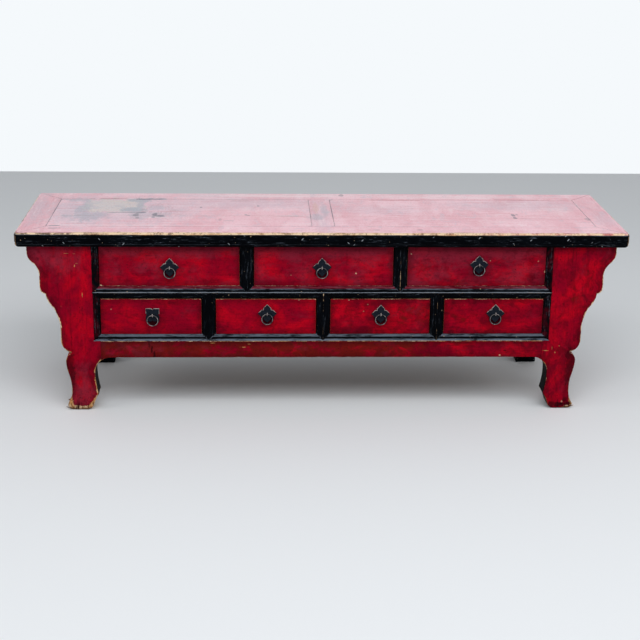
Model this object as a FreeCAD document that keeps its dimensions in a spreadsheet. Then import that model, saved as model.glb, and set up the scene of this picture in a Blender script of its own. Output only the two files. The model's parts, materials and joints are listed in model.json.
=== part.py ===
import FreeCAD, Part
import math
import os
import re

import Sketcher

# Altar cabinet: a mitred frame-and-panel top on four legs, with shaped wings under the top's ends,
# ridged front rails and dividers, and seven drawers with iron ring pulls.
# Axes: +X to the right, +Y to the back, +Z up. The origin is on the floor under the middle of the top.
# All sizes are in millimetres.

SIZES = {
    # Top
    "top_length": 1750,
    "top_depth": 515,
    "overall_height": 540,
    "top_thick": 42,
    "top_edge_round": 12,
    "long_frame_width": 86,
    "end_frame_width": 80,
    "centre_rail_width": 66,
    "centre_rail_thick": 34,
    "panel_thick": 18,
    "board_seam": -44,
    "tongue_thick": 8,
    "tongue_reach": 10,
    "batten_width": 45,
    "batten_thick": 20,
    # Legs
    "front_overhang": 23,
    "rear_overhang": 23,
    "end_overhang": 147,
    "post_width": 84,
    "leg_depth": 60,
    "leg_tenon_width": 40,
    "leg_tenon_depth": 28,
    "leg_tenon_height": 24,
    "rear_leg_width": 64,
    "rear_leg_inset": 4,
    # Shaped lower end of the front legs
    "knee_height": 177,
    "knee_out": 18.5,
    "ankle_out": 5,
    "toe_out": 19,
    "hollow_in": 18,
    "spur_in": 10,
    "heel_in": 27,
    "sole_in": 38,
    "arch_radius": 45,
    # Wings
    "wing_margin": 30.5,
    "wing_thick": 28,
    "wing_shank": 30,
    "wing_belly": 46,
    "wing_shoulder": 69,
    "wing_waist": 83.5,
    "wing_flare": 98,
    "wing_tongue_thick": 10,
    "wing_tongue_reach": 12,
    "wing_tongue_margin": 30,
    # Ridged rails and dividers
    "ridge_depth": 8,
    "rail_face": 36,
    "rail_depth": 30,
    "bevel_width": 22,
    "divider_width": 38,
    "middle_rail_height": 358.5,
    "bottom_rail_height": 213,
    "tenon_thick": 12,
    "tenon_back": 5,
    "rail_tenon_reach": 26,
    "rail_tenon_shoulder": 6,
    "divider_tenon_width": 18,
    "divider_tenon_reach": 9,
    # Apron
    "apron_thick": 18,
    "apron_bottom": 162,
    "apron_tongue_thick": 8,
    "apron_tongue_reach": 10,
    "apron_tongue_drop": 8,
    # Rear and end frames
    "frame_rail_height": 50,
    "frame_rail_thick": 26,
    "frame_rail_inset": 6,
    "low_rail_height": 36,
    "infill_thick": 8,
    "infill_groove": 8,
    "rear_bearer_thick": 24,
    # Drawer runners
    "runner_ledge": 24,
    "runner_thick": 18,
    "guide_height": 18,
    "end_guide_width": 18,
    # Drawers
    "side_clear": 1.5,
    "run_clear": 0.4,
    "top_clear": 2.5,
    "front_setback": 1,
    "front_thick": 18,
    "front_lip": 8,
    "side_thick": 12,
    "side_drop": 10,
    "back_thick": 12,
    "back_drop": 6,
    "bottom_thick": 8,
    "bottom_lift": 6,
    "bottom_groove": 5,
    "rear_gap": 30,
    # Pulls
    "plate_reach": 27.5,
    "plate_notch": 16,
    "plate_thick": 2,
    "ring_radius": 15.6,
    "ring_wire": 3.8,
    "eye_clear": 0.5,
    "eye_wire": 3,
    "shank_width": 4,
    "clench_length": 22,
    "clench_width": 4,
    "clench_thick": 2,
}

# Each pull was set by eye: sideways and upward shift from the middle of its drawer, and turn in degrees.
UPPER_PULLS = [(0.5, -4.5, 0), (-5, -4, 0), (6.5, 4, 0)]
LOWER_PULLS = [(4, 4.5, 45), (3.5, 8.5, 0), (2, 7, 0), (5.5, 8.5, 0)]

# Planes and faces that several pieces share, as expressions of the sizes.
UNDER = "(overall_height - top_thick)"
END = "(top_length / 2)"
EDGE = "(top_depth / 2)"
FRONT = "(front_overhang - top_depth / 2)"
BACK = "(top_depth / 2 - rear_overhang)"
OUTER = "(top_length / 2 - end_overhang)"
INNER = "(top_length / 2 - end_overhang - post_width)"
LEG_BACK = f"({FRONT} + leg_depth)"
REAR_LEG_FRONT = f"({BACK} - leg_depth)"
REAR_LEG_INNER = f"({INNER} + rear_leg_inset)"
REAR_LEG_OUTER = f"({REAR_LEG_INNER} + rear_leg_width)"
RAIL_BACK = f"({FRONT} + rail_depth)"
BEVEL_EDGE = f"({INNER} + bevel_width)"
MIDDLE_TOP = "(middle_rail_height + rail_face / 2)"
MIDDLE_LOW = "(middle_rail_height - rail_face / 2)"
BOTTOM_TOP = "(bottom_rail_height + rail_face / 2)"
BOTTOM_LOW = "(bottom_rail_height - rail_face / 2)"
PANEL_LOW = "(overall_height - panel_thick)"
TONGUE_TOP = f"({PANEL_LOW} + tongue_thick)"
FRAME_BACK = f"({BACK} - frame_rail_inset)"
FRAME_FRONT = f"({FRAME_BACK} - frame_rail_thick)"
INFILL_FRONT = f"({FRAME_BACK} - (frame_rail_thick + infill_thick) / 2)"
INFILL_BACK = f"({INFILL_FRONT} + infill_thick)"
BEARER_FRONT = f"({INFILL_FRONT} - rear_bearer_thick)"
END_FACE = f"({REAR_LEG_OUTER} - frame_rail_inset)"
END_INSIDE = f"({END_FACE} - frame_rail_thick)"
FRAME_TOP_LOW = f"({UNDER} - frame_rail_height)"
FRAME_LOW_TOP = f"({BOTTOM_LOW} + low_rail_height)"
DRAWER_FACE = f"({FRONT} + ridge_depth + front_setback)"
DRAWER_BACK = f"({BEARER_FRONT} - rear_gap)"
UPPER_PITCH = f"((2 * {INNER} + divider_width) / 3)"
LOWER_PITCH = f"((2 * {INNER} + divider_width) / 4)"
TENON_Y = (f"{RAIL_BACK} - tenon_back - tenon_thick", f"{RAIL_BACK} - tenon_back")
# The round corner between apron and leg crosses their joint at this height.
ARCH_JOINT = "(apron_bottom - arch_radius + sqrt(arch_radius^2 - (arch_radius - hollow_in)^2))"

# Share of the chord by which a quarter circle bulges, and the edge of a pull plate's lobe.
QUARTER = math.tan(math.pi / 8) / 2
LOBE = 0.1

# Sketch plane, axis that the pad runs along, and whether the pad has to be reversed to run up that axis.
PLANES = {
    "XY": ("XY_Plane", "z", False),
    "XZ": ("XZ_Plane", "y", True),
    "YZ": ("YZ_Plane", "x", False),
}

WORD = re.compile(r"[a-z][a-z_]+")

doc = FreeCAD.newDocument("altar_cabinet")


def size_sheet():
    """The spreadsheet with one aliased cell for each size."""
    sheet = doc.addObject("Spreadsheet::Sheet", "dims")
    for row, (name, number) in enumerate(SIZES.items(), start=1):
        sheet.set(f"A{row}", name)
        sheet.set(f"B{row}", str(number))
        sheet.setAlias(f"B{row}", name)
    doc.recompute()
    return sheet


dims = size_sheet()


def qualified(text):
    """The expression with each size's name pointed at its cell."""
    return WORD.sub(lambda found: "dims." * (found.group() in SIZES) + found.group(), str(text))


def size(text):
    """The present value of an expression."""
    return float(dims.evalExpression(qualified(text)))


def bind(item, prop, text):
    item.setExpression(prop, qualified(text))


def block(name, x, y, z):
    """A box between a low and a high expression on each axis."""
    solid = doc.addObject("Part::Box", name)
    for axis, prop, (low, high) in zip("xyz", ("Length", "Width", "Height"), (x, y, z)):
        bind(solid, prop, f"({high}) - ({low})")
        bind(solid, "Placement.Base." + axis, low)
    return solid


def about(middle, width):
    """The span of a width about a middle."""
    return f"{middle} - ({width}) / 2", f"{middle} + ({width}) / 2"


def joined(name, pieces):
    if len(pieces) == 1:
        return pieces[0]
    result = doc.addObject("Part::MultiFuse", name)
    result.Shapes = pieces
    result.Refine = True
    return result


def cut(name, base, tools):
    result = doc.addObject("Part::Cut", name)
    result.Base = base
    result.Tool = joined(name + "_tools", tools)
    return result


def group(name, pieces):
    """Separate solids kept together as one sub-part."""
    result = doc.addObject("Part::Compound", name)
    result.Links = pieces
    return result


def mirrored(name, source, normal=(1, 0, 0)):
    result = doc.addObject("Part::Mirroring", name)
    result.Source = source
    result.Normal = FreeCAD.Vector(*normal)
    return result


def arc_share(turn):
    """Share of its chord by which an arc of a given turn bulges."""
    return math.tan(turn / 4) / 2


def arch_cosine():
    """Cosine of the part of the round corner that lies in the leg."""
    return 1 - size("hollow_in / arch_radius")


def arc_radius(corner, following):
    """Radius of the edge that leaves a corner, from the share of its chord by which it bulges."""
    share = abs(corner[2])
    ratio = 1 / (8 * share) + share / 2
    run = f"(({following[0]}) - ({corner[0]}))^2 + (({following[1]}) - ({corner[1]}))^2"
    return f"{ratio:.6f} * sqrt({run})"


def edge_curve(corner, start, end, radius):
    """The edge from a corner to the next, and which of its ends is its first: 1 or 2."""
    if len(corner) == 2:
        return Part.LineSegment(start, end), (1, 2)
    chord = end - start
    left = FreeCAD.Vector(-chord.y, chord.x, 0).normalize()
    side = math.copysign(1, corner[2])
    reach = math.sqrt(max(radius ** 2 - chord.Length ** 2 / 4, 0))
    centre = (start + end) * 0.5 + left * reach * side
    ends = (start, end) if side > 0 else (end, start)
    angles = [math.atan2(point.y - centre.y, point.x - centre.x) for point in ends]
    circle = Part.Circle(centre, FreeCAD.Vector(0, 0, 1), radius)
    return Part.ArcOfCircle(circle, *angles), (1, 2) if side > 0 else (2, 1)


def draw(sketch, outline):
    """A closed outline, anticlockwise. A corner is (u, v) or (u, v, share), where the share of the chord
    makes the edge that leaves it bulge outwards, or inwards if negative. Corners and radii are bound."""
    points = [FreeCAD.Vector(size(corner[0]), size(corner[1]), 0) for corner in outline]
    ends = []
    rules = []
    for index, corner in enumerate(outline):
        following = (index + 1) % len(outline)
        radius = 0
        if len(corner) == 3:
            text = arc_radius(corner, outline[following])
            radius = size(text)
            rules.append((Sketcher.Constraint("Radius", index, radius), text))
        curve, order = edge_curve(corner, points[index], points[following], radius)
        sketch.addGeometry(curve)
        ends.append(order)
        rules.append((Sketcher.Constraint("DistanceX", -1, 1, index, order[0], points[index].x), corner[0]))
        rules.append((Sketcher.Constraint("DistanceY", -1, 1, index, order[0], points[index].y), corner[1]))
    for index, order in enumerate(ends):
        following = (index + 1) % len(outline)
        meeting = Sketcher.Constraint("Coincident", index, order[1], following, ends[following][0])
        sketch.addConstraint(meeting)
    for rule, text in rules:
        number = sketch.addConstraint(rule)
        bind(sketch, f"Constraints[{number}]", text)


def prism(name, plane, outline, start, length):
    """A pad of an outline from a start along the plane's axis."""
    role, axis, backwards = PLANES[plane]
    body = doc.addObject("PartDesign::Body", name)
    sketch = body.newObject("Sketcher::SketchObject", name + "_outline")
    support = [feature for feature in body.Origin.OriginFeatures if feature.Role == role]
    sketch.AttachmentSupport = [(support[0], "")]
    sketch.MapMode = "FlatFace"
    draw(sketch, outline)
    pad = body.newObject("PartDesign::Pad", name + "_pad")
    pad.Profile = sketch
    pad.Reversed = backwards
    bind(pad, "Length", length)
    bind(body, "Placement.Base." + axis, start)
    return body


# Top

def frame_profile(outer, inward, width):
    """Section of a top frame piece: a rounded lower outer edge and a groove for the panels."""
    sign = "+" if inward > 0 else "-"
    lip = f"{outer} {sign} ({width})"
    groove = f"{lip} {'-' if inward > 0 else '+'} tongue_reach"
    corners = [
        (outer, "overall_height"),
        (outer, f"{UNDER} + top_edge_round", QUARTER),
        (f"{outer} {sign} top_edge_round", UNDER),
        (lip, UNDER),
        (lip, PANEL_LOW),
        (groove, PANEL_LOW),
        (groove, TONGUE_TOP),
        (lip, TONGUE_TOP),
        (lip, "overall_height"),
    ]
    if inward > 0:
        return corners
    # Seen from the other side the same section runs clockwise, so it is turned round, bulge and all.
    turned = [corner[:2] for corner in reversed(corners)]
    turned[6] = turned[6] + (QUARTER,)
    return turned


def mitre(name, owner):
    """Corner that a frame piece gives up at the front right: owner is the piece that keeps the other half."""
    inner = (f"{END} - end_frame_width", f"long_frame_width - {EDGE}")
    spare = {"end": (END, f"long_frame_width - {EDGE}"), "long": (f"{END} - end_frame_width", f"-{EDGE}")}
    corners = [(END, f"-{EDGE}"), spare[owner], inner]
    if owner == "long":
        corners.reverse()
    return prism(name, "XY", corners, UNDER, "top_thick")


def top_frame(front_mortises, rear_mortises):
    """The mitred frame: two long stiles, two ends and the rail across the middle."""
    long_blank = prism("top_stile_blank", "YZ", frame_profile(f"-{EDGE}", 1, "long_frame_width"),
                       f"-{END}", "top_length")
    end_blank = prism("top_end_blank", "XZ", frame_profile(END, -1, "end_frame_width"),
                      f"-{EDGE}", "top_depth")
    stile_corner = mitre("stile_corner", "end")
    stile = cut("top_stile_mitred", long_blank, [stile_corner, mirrored("stile_corner_left", stile_corner)])
    far_stile = mirrored("top_stile_far", stile, (0, 1, 0))
    end_corner = mitre("end_corner", "long")
    far_corner = mirrored("end_corner_far", end_corner, (0, 1, 0))
    end_piece = cut("top_right_end", end_blank, [end_corner, far_corner])
    front_stile = cut("top_front_stile", stile, front_mortises)
    rear_stile = cut("top_rear_stile", far_stile, rear_mortises)

    lip = f"{EDGE} - long_frame_width"
    rail_low = "overall_height - centre_rail_thick"
    half = "centre_rail_width / 2"
    board = block("centre_rail_board", about("0", "centre_rail_width"), (f"-({lip})", lip),
                  (rail_low, "overall_height"))
    stub = block("centre_rail_stub", about("0", "centre_rail_width"),
                 (f"-({lip}) - tongue_reach", f"{lip} + tongue_reach"), (PANEL_LOW, TONGUE_TOP))
    groove = block("centre_rail_groove", (f"{half} - tongue_reach", half),
                   (f"-({lip}) - tongue_reach", f"{lip} + tongue_reach"), (PANEL_LOW, TONGUE_TOP))
    centre = cut("top_centre_rail", joined("centre_rail_whole", [board, stub]),
                 [groove, mirrored("centre_rail_groove_left", groove)])
    return [front_stile, rear_stile, end_piece, mirrored("top_left_end", end_piece), centre]


def top_panels():
    """Each loose panel is two boards whose tongues sit in the frame's grooves."""
    near, far = "centre_rail_width / 2", f"{END} - end_frame_width"
    lip = f"{EDGE} - long_frame_width"
    tongue_x = (f"{near} - tongue_reach", f"{far} + tongue_reach")
    spans = {"front": ((f"-({lip})", "board_seam"), (f"-({lip}) - tongue_reach", "board_seam")),
             "rear": (("board_seam", lip), ("board_seam", f"{lip} + tongue_reach"))}
    boards = []
    for row, (face, tongue) in spans.items():
        board = block(f"top_board_{row}", (near, far), face, (PANEL_LOW, "overall_height"))
        edge = block(f"top_board_tongue_{row}", tongue_x, tongue, (PANEL_LOW, TONGUE_TOP))
        boards.append(joined(f"top_board_whole_{row}", [board, edge]))
    right = group("top_right_panel", boards)
    return [right, mirrored("top_left_panel", right)]


def top_battens():
    """Two battens under each panel, let in between the long stiles."""
    near, far = "centre_rail_width / 2", f"({END} - end_frame_width)"
    lip = f"{EDGE} - long_frame_width"
    battens = []
    for third in (1, 2):
        middle = f"({near} + ({far} - {near}) * {third} / 3)"
        batten = block(f"top_batten_right_{third}", about(middle, "batten_width"), (f"-({lip})", lip),
                       (f"{PANEL_LOW} - batten_thick", PANEL_LOW))
        battens += [batten, mirrored(f"top_batten_left_{third}", batten)]
    return [group("top_battens", battens)]


# Legs and wings

def leg_tenons(name, x, y):
    """The tenons of a right leg and of its left twin, which the top is cut for."""
    right = block(name, about(x, "leg_tenon_width"), about(y, "leg_tenon_depth"),
                  (UNDER, f"{UNDER} + leg_tenon_height"))
    return [right, mirrored(name + "_left", right)]


def front_leg_blank():
    """Front view of the right leg: a straight post, a knee under the wing and a shaped foot.
    Heights below the knee are shares of the knee's height."""
    outline = [
        (INNER, UNDER),
        (INNER, ARCH_JOINT, -arc_share(math.acos(arch_cosine()))),
        (f"{INNER} + hollow_in", "apron_bottom - arch_radius", -0.037),
        (f"{INNER} + spur_in", "knee_height * 0.28", -0.05),
        (f"{INNER} + heel_in", "knee_height * 0.06"),
        (f"{INNER} + sole_in", "0"),
        (OUTER, "0", 0.12),
        (f"{OUTER} + toe_out", "knee_height * 0.08", -0.09),
        (f"{OUTER} + ankle_out", "knee_height * 0.35", -0.05),
        (f"{OUTER} + (ankle_out + knee_out) / 2", "knee_height * 0.63", 0.035),
        (f"{OUTER} + knee_out", "knee_height * 0.85", 0.15),
        (OUTER, "knee_height"),
        (OUTER, UNDER),
    ]
    post = prism("front_leg_post", "XZ", outline, FRONT, "leg_depth")
    bevel = prism("front_leg_bevel", "XY",
                  [(INNER, FRONT), (BEVEL_EDGE, FRONT), (INNER, f"{FRONT} + ridge_depth")],
                  "bottom_rail_height", f"{UNDER} - bottom_rail_height")
    return cut("front_leg_blank", post, [bevel])


def wing_tongue():
    return block("wing_tongue", (f"{OUTER} - wing_tongue_reach", OUTER),
                 about(f"{FRONT} + wing_thick / 2", "wing_tongue_thick"),
                 ("knee_height + wing_tongue_margin", f"{UNDER} - wing_tongue_margin"))


def wings(tongue):
    """Shaped boards outside the front legs, wide under the top and drawn in to the knee.
    Heights are shares of the rise from the knee to the top."""
    rise = f"({UNDER} - knee_height)"
    outline = [
        (OUTER, UNDER),
        (OUTER, "knee_height", 0.16),
        (f"{OUTER} + wing_shank", f"knee_height + {rise} * 0.106"),
        (f"{OUTER} + wing_shank", f"knee_height + {rise} * 0.265", -0.03),
        (f"{OUTER} + wing_belly", f"knee_height + {rise} * 0.42", 0.085),
        (f"{OUTER} + wing_shoulder", f"knee_height + {rise} * 0.555", 0.15),
        (f"{OUTER} + wing_waist", f"knee_height + {rise} * 0.595", 0.02),
        (f"{OUTER} + wing_waist", f"knee_height + {rise} * 0.732", -0.085),
        (f"{OUTER} + wing_flare", f"knee_height + {rise} * 0.835", 0.1),
        (f"{END} - wing_margin", f"knee_height + {rise} * 0.925"),
        (f"{END} - wing_margin", UNDER),
    ]
    board = prism("wing_board", "XZ", outline, FRONT, "wing_thick")
    right = joined("wing_right", [board, tongue])
    return [right, mirrored("wing_left", right)]


def front_legs(blank, mortises, tenon):
    right = joined("leg_front_right", [cut("front_leg_mortised", blank, mortises), tenon])
    return [right, mirrored("leg_front_left", right)]


def rear_legs(grooves, tenon):
    post = block("rear_leg_post", (REAR_LEG_INNER, REAR_LEG_OUTER), (REAR_LEG_FRONT, BACK), ("0", UNDER))
    right = joined("leg_rear_right", [cut("rear_leg_mortised", post, grooves), tenon])
    return [right, mirrored("leg_rear_left", right)]


# Front rails, dividers and apron

def rail_blank(name, section):
    return prism(name, "YZ", section, f"-{BEVEL_EDGE}", f"2 * {BEVEL_EDGE}")


def middle_rail_blank():
    return rail_blank("middle_rail_blank", [
        (FRONT, "middle_rail_height"),
        (f"{FRONT} + ridge_depth", MIDDLE_LOW),
        (RAIL_BACK, MIDDLE_LOW),
        (RAIL_BACK, MIDDLE_TOP),
        (f"{FRONT} + ridge_depth", MIDDLE_TOP),
    ])


def bottom_rail_blank():
    """The lower half is stepped back behind the apron."""
    return rail_blank("bottom_rail_blank", [
        (FRONT, "bottom_rail_height"),
        (f"{FRONT} + apron_thick", "bottom_rail_height"),
        (f"{FRONT} + apron_thick", BOTTOM_LOW),
        (RAIL_BACK, BOTTOM_LOW),
        (RAIL_BACK, BOTTOM_TOP),
        (f"{FRONT} + ridge_depth", BOTTOM_TOP),
    ])


def rail_tenon(name, z):
    return block(name, (INNER, f"{INNER} + rail_tenon_reach"), TENON_Y, z)


def divider_middle(spot, drawers, pitch):
    """Middle of the divider to the right of drawer number spot."""
    return f"({spot - drawers / 2} * {pitch})"


def divider_tenon(name, middle, z):
    return block(name, about(middle, "divider_tenon_width"), TENON_Y, z)


def divider(name, middle, low, high, rails, tenons):
    """An upright with a ridged face whose pointed ends lap over the bevels of the rails."""
    half = "divider_width / 2"
    section = [
        (middle, FRONT),
        (f"{middle} + {half}", f"{FRONT} + ridge_depth"),
        (f"{middle} + {half}", RAIL_BACK),
        (f"{middle} - {half}", RAIL_BACK),
        (f"{middle} - {half}", f"{FRONT} + ridge_depth"),
    ]
    blank = prism(name + "_blank", "XY", section, low, f"{high} - {low}")
    return joined(name, [cut(name + "_lapped", blank, rails), *tenons])


def front_frame(leg_blank):
    """The two ridged rails with the dividers between them, and the tenons for which the legs and the top's
    front stile are cut."""
    middle_blank = middle_rail_blank()
    bottom_blank = bottom_rail_blank()
    leg_blanks = [leg_blank, mirrored("front_leg_blank_left", leg_blank)]
    middle_tenon = rail_tenon("middle_rail_tenon", (f"{MIDDLE_LOW} + rail_tenon_shoulder",
                                                    f"{MIDDLE_TOP} - rail_tenon_shoulder"))
    bottom_tenon = rail_tenon("bottom_rail_tenon", ("bottom_rail_height",
                                                    f"{BOTTOM_TOP} - rail_tenon_shoulder"))
    uppers, lowers, stile_cuts, middle_cuts, bottom_cuts = [], [], [], [], []
    for spot in (1, 2):
        name = f"upper_divider_{spot}"
        middle = divider_middle(spot, 3, UPPER_PITCH)
        foot = divider_tenon(name + "_foot", middle, (f"{MIDDLE_TOP} - divider_tenon_reach", MIDDLE_TOP))
        head = divider_tenon(name + "_head", middle, (UNDER, f"{UNDER} + divider_tenon_reach"))
        uppers.append(divider(name, middle, "middle_rail_height", UNDER, [middle_blank], [foot, head]))
        stile_cuts.append(head)
        middle_cuts.append(foot)
    for spot in (1, 2, 3):
        name = f"lower_divider_{spot}"
        middle = divider_middle(spot, 4, LOWER_PITCH)
        foot = divider_tenon(name + "_foot", middle, (f"{BOTTOM_TOP} - divider_tenon_reach", BOTTOM_TOP))
        head = divider_tenon(name + "_head", middle, (MIDDLE_LOW, f"{MIDDLE_LOW} + divider_tenon_reach"))
        lowers.append(divider(name, middle, "bottom_rail_height", "middle_rail_height",
                              [middle_blank, bottom_blank], [foot, head]))
        bottom_cuts.append(foot)
        middle_cuts.append(head)
    rails = []
    for name, blank, tenon, mortises in (("front_middle_rail", middle_blank, middle_tenon, middle_cuts),
                                         ("front_bottom_rail", bottom_blank, bottom_tenon, bottom_cuts)):
        fitted = cut(name + "_fitted", blank, leg_blanks + mortises)
        rails.append(joined(name, [fitted, tenon, mirrored(name + "_tenon_left", tenon)]))
    return rails + uppers + lowers, [middle_tenon, bottom_tenon], stile_cuts


def apron_tongue():
    return block("apron_tongue", (INNER, f"{INNER} + apron_tongue_reach"),
                 about(f"{FRONT} + apron_thick / 2", "apron_tongue_thick"),
                 ("apron_bottom", "bottom_rail_height - apron_tongue_drop"))


def apron(tongue):
    """The board under the bottom rail; its ends curve down into the legs."""
    spring = f"{INNER} + hollow_in - arch_radius"
    share = -arc_share(math.asin(arch_cosine()))
    outline = [
        (f"-{INNER}", "bottom_rail_height"),
        (f"-{INNER}", ARCH_JOINT, share),
        (f"-({spring})", "apron_bottom"),
        (spring, "apron_bottom", share),
        (INNER, ARCH_JOINT),
        (INNER, "bottom_rail_height"),
    ]
    board = prism("apron_board", "XZ", outline, FRONT, "apron_thick")
    return joined("front_apron", [board, tongue, mirrored("apron_tongue_left", tongue)])


# Rear and end frames

def rear_frame():
    """Rails between the rear legs, the bearer for the upper runners, and the back panel in its grooves."""
    width = (f"-{REAR_LEG_INNER}", REAR_LEG_INNER)
    depth = (FRAME_FRONT, FRAME_BACK)
    panel = block("back_panel", (f"-{REAR_LEG_INNER} - infill_groove", f"{REAR_LEG_INNER} + infill_groove"),
                  (INFILL_FRONT, INFILL_BACK),
                  (f"{FRAME_LOW_TOP} - infill_groove", f"{FRAME_TOP_LOW} + infill_groove"))
    top_board = block("rear_top_board", width, depth, (FRAME_TOP_LOW, UNDER))
    low_board = block("rear_bottom_board", width, depth, (BOTTOM_LOW, FRAME_LOW_TOP))
    bearer = block("rear_middle_rail", width, (BEARER_FRONT, INFILL_FRONT), (MIDDLE_LOW, MIDDLE_TOP))
    top_rail = cut("rear_top_rail", top_board, [panel])
    low_rail = cut("rear_bottom_rail", low_board, [panel])
    return [top_rail, bearer, low_rail, panel], panel


def end_frames():
    """Rails between the front and rear legs at each end, and the panels in their grooves."""
    width = (END_INSIDE, END_FACE)
    depth = (LEG_BACK, REAR_LEG_FRONT)
    panel = block("right_end_panel", about(f"({END_FACE} - frame_rail_thick / 2)", "infill_thick"),
                  (f"{LEG_BACK} - infill_groove", f"{REAR_LEG_FRONT} + infill_groove"),
                  (f"{FRAME_LOW_TOP} - infill_groove", f"{FRAME_TOP_LOW} + infill_groove"))
    rails = []
    for name, z in (("top", (FRAME_TOP_LOW, UNDER)), ("low", (BOTTOM_LOW, FRAME_LOW_TOP))):
        board = block(f"end_{name}_board", width, depth, z)
        rails.append(cut(f"end_{name}_rail", board, [panel]))
    right_rails = group("right_end_rails", rails)
    return [right_rails, mirrored("left_end_rails", right_rails),
            panel, mirrored("left_end_panel", panel)], panel


# Drawer runners

def runners(name, drawers, pitch, top, rear):
    """Bearers from the front rail to the back, each with a guide between the drawers on it."""
    bearer_z = (f"{top} - runner_thick", top)
    guide_z = (top, f"{top} + guide_height")
    length = (RAIL_BACK, rear)
    pieces = []
    for spot in range(1, drawers):
        middle = divider_middle(spot, drawers, pitch)
        pieces.append(block(f"{name}_bearer_{spot}", about(middle, "divider_width + 2 * runner_ledge"),
                            length, bearer_z))
        pieces.append(block(f"{name}_guide_{spot}", about(middle, "divider_width"), length, guide_z))
    ledge = block(f"{name}_end_ledge", (f"{INNER} - runner_ledge", INNER), length, bearer_z)
    beside = (INNER, f"{INNER} + end_guide_width")
    between_legs = (LEG_BACK, REAR_LEG_FRONT)
    seat = block(f"{name}_end_seat", beside, between_legs, bearer_z)
    bearer = joined(f"{name}_end_bearer", [ledge, seat])
    guide = block(f"{name}_end_guide", beside, between_legs, guide_z)
    for piece in (bearer, guide):
        pieces += [piece, mirrored(piece.Name + "_left", piece)]
    return group(name, pieces)


# Drawers

def upright(item, axis):
    """Turns a primitive that is made along Z to stand along X or Y."""
    turns = {"x": ((0, 1, 0), 90), "y": ((1, 0, 0), -90)}
    direction, angle = turns[axis]
    item.Placement = FreeCAD.Placement(FreeCAD.Vector(), FreeCAD.Rotation(FreeCAD.Vector(*direction), angle))


def torus(name, axis, radius, wire, spot):
    solid = doc.addObject("Part::Torus", name)
    upright(solid, axis)
    bind(solid, "Radius1", radius)
    bind(solid, "Radius2", wire)
    for letter, text in zip("xyz", spot):
        bind(solid, "Placement.Base." + letter, text)
    return solid


def shank_rod(name, spot, start, end):
    solid = doc.addObject("Part::Cylinder", name)
    upright(solid, "y")
    bind(solid, "Radius", "shank_width / 2")
    bind(solid, "Height", f"({end}) - ({start})")
    for letter, text in zip("xyz", (spot[0], start, spot[1])):
        bind(solid, "Placement.Base." + letter, text)
    return solid


def pull(name, spot, turn):
    """A four-lobed plate, a staple eye clenched inside the drawer front, and the ring that hangs in it."""
    face = f"({DRAWER_FACE} - plate_thick)"
    inside = f"({DRAWER_FACE} + front_thick)"
    eye_hole = "(ring_wire / 2 + eye_clear)"
    eye_radius = f"({eye_hole} + eye_wire / 2)"
    eye_y = f"({face} - {eye_hole} - eye_wire)"
    lobes = []
    for quarter in range(4):
        tip = quarter * math.pi / 2
        for reach, angle in (("plate_reach", tip), ("plate_notch", tip + math.pi / 4)):
            lobes.append((f"{reach} * {math.cos(angle):.6f}", f"{reach} * {math.sin(angle):.6f}", LOBE))
    plate = prism(name + "_plate_blank", "XZ", lobes, face, "plate_thick")
    plate.Placement.Rotation = FreeCAD.Rotation(FreeCAD.Vector(0, 1, 0), turn)
    bind(plate, "Placement.Base.x", spot[0])
    bind(plate, "Placement.Base.z", spot[1])
    eye = torus(name + "_eye", "x", eye_radius, "eye_wire / 2", (spot[0], eye_y, spot[1]))
    rod = shank_rod(name + "_shank", spot, f"{eye_y} + {eye_radius}", inside)
    clench = block(name + "_clench", about(spot[0], "clench_length"), (inside, f"{inside} + clench_thick"),
                   about(spot[1], "clench_width"))
    staple = joined(name + "_staple", [eye, rod, clench])
    holed_plate = cut(name + "_plate", plate, [rod])
    ring = torus(name.replace("pull", "ring"), "y", "ring_radius", "ring_wire / 2",
                 (spot[0], eye_y, f"{spot[1]} - ring_radius"))
    return [group(name, [holed_plate, staple]), ring], rod


def drawer(name, middle, width, low, high, pull_spot):
    """A lapped drawer: a thick front, two sides, a back standing on the bottom, and a ring pull."""
    left, right = f"({middle} - {width} / 2 + side_clear)", f"({middle} + {width} / 2 - side_clear)"
    base = f"({low} + run_clear)"
    top = f"({high} - top_clear)"
    side_top = f"({top} - side_drop)"
    lap = f"{DRAWER_FACE} + front_lip"
    floor_low = f"({base} + bottom_lift)"
    floor_top = f"({floor_low} + bottom_thick)"

    bottom = block(name + "_bottom",
                   (f"{left} + side_thick - bottom_groove", f"{right} - side_thick + bottom_groove"),
                   (f"{DRAWER_FACE} + front_thick - bottom_groove", DRAWER_BACK), (floor_low, floor_top))
    boards = []
    for hand, span in (("left", (left, f"{left} + side_thick")), ("right", (f"{right} - side_thick", right))):
        boards.append(block(f"{name}_{hand}_board", span, (lap, DRAWER_BACK), (base, side_top)))
    sides = [cut(board.Name.replace("board", "side"), board, [bottom]) for board in boards]
    back = block(name + "_back", (f"{left} + side_thick", f"{right} - side_thick"),
                 (f"{DRAWER_BACK} - back_thick", DRAWER_BACK), (floor_top, f"{side_top} - back_drop"))

    shift_x, shift_z, turn = pull_spot
    spot = (f"({middle} + {shift_x})", f"(({low} + {high}) / 2 + {shift_z})")
    pull_pieces, rod = pull(name + "_pull", spot, turn)
    board = block(name + "_front_board", (left, right), (DRAWER_FACE, f"{DRAWER_FACE} + front_thick"),
                  (base, top))
    front = cut(name + "_front", board, [*boards, bottom, rod])
    return [front, group(name + "_box", [*sides, back, bottom]), *pull_pieces]


def drawer_row(first, pulls, pitch, low, high):
    pieces = []
    width = f"({pitch} - divider_width)"
    for index, pull_spot in enumerate(pulls):
        middle = f"({index - (len(pulls) - 1) / 2} * {pitch})"
        pieces += drawer(f"drawer_{first + index}", middle, width, low, high, pull_spot)
    return pieces


# Assembly

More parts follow.
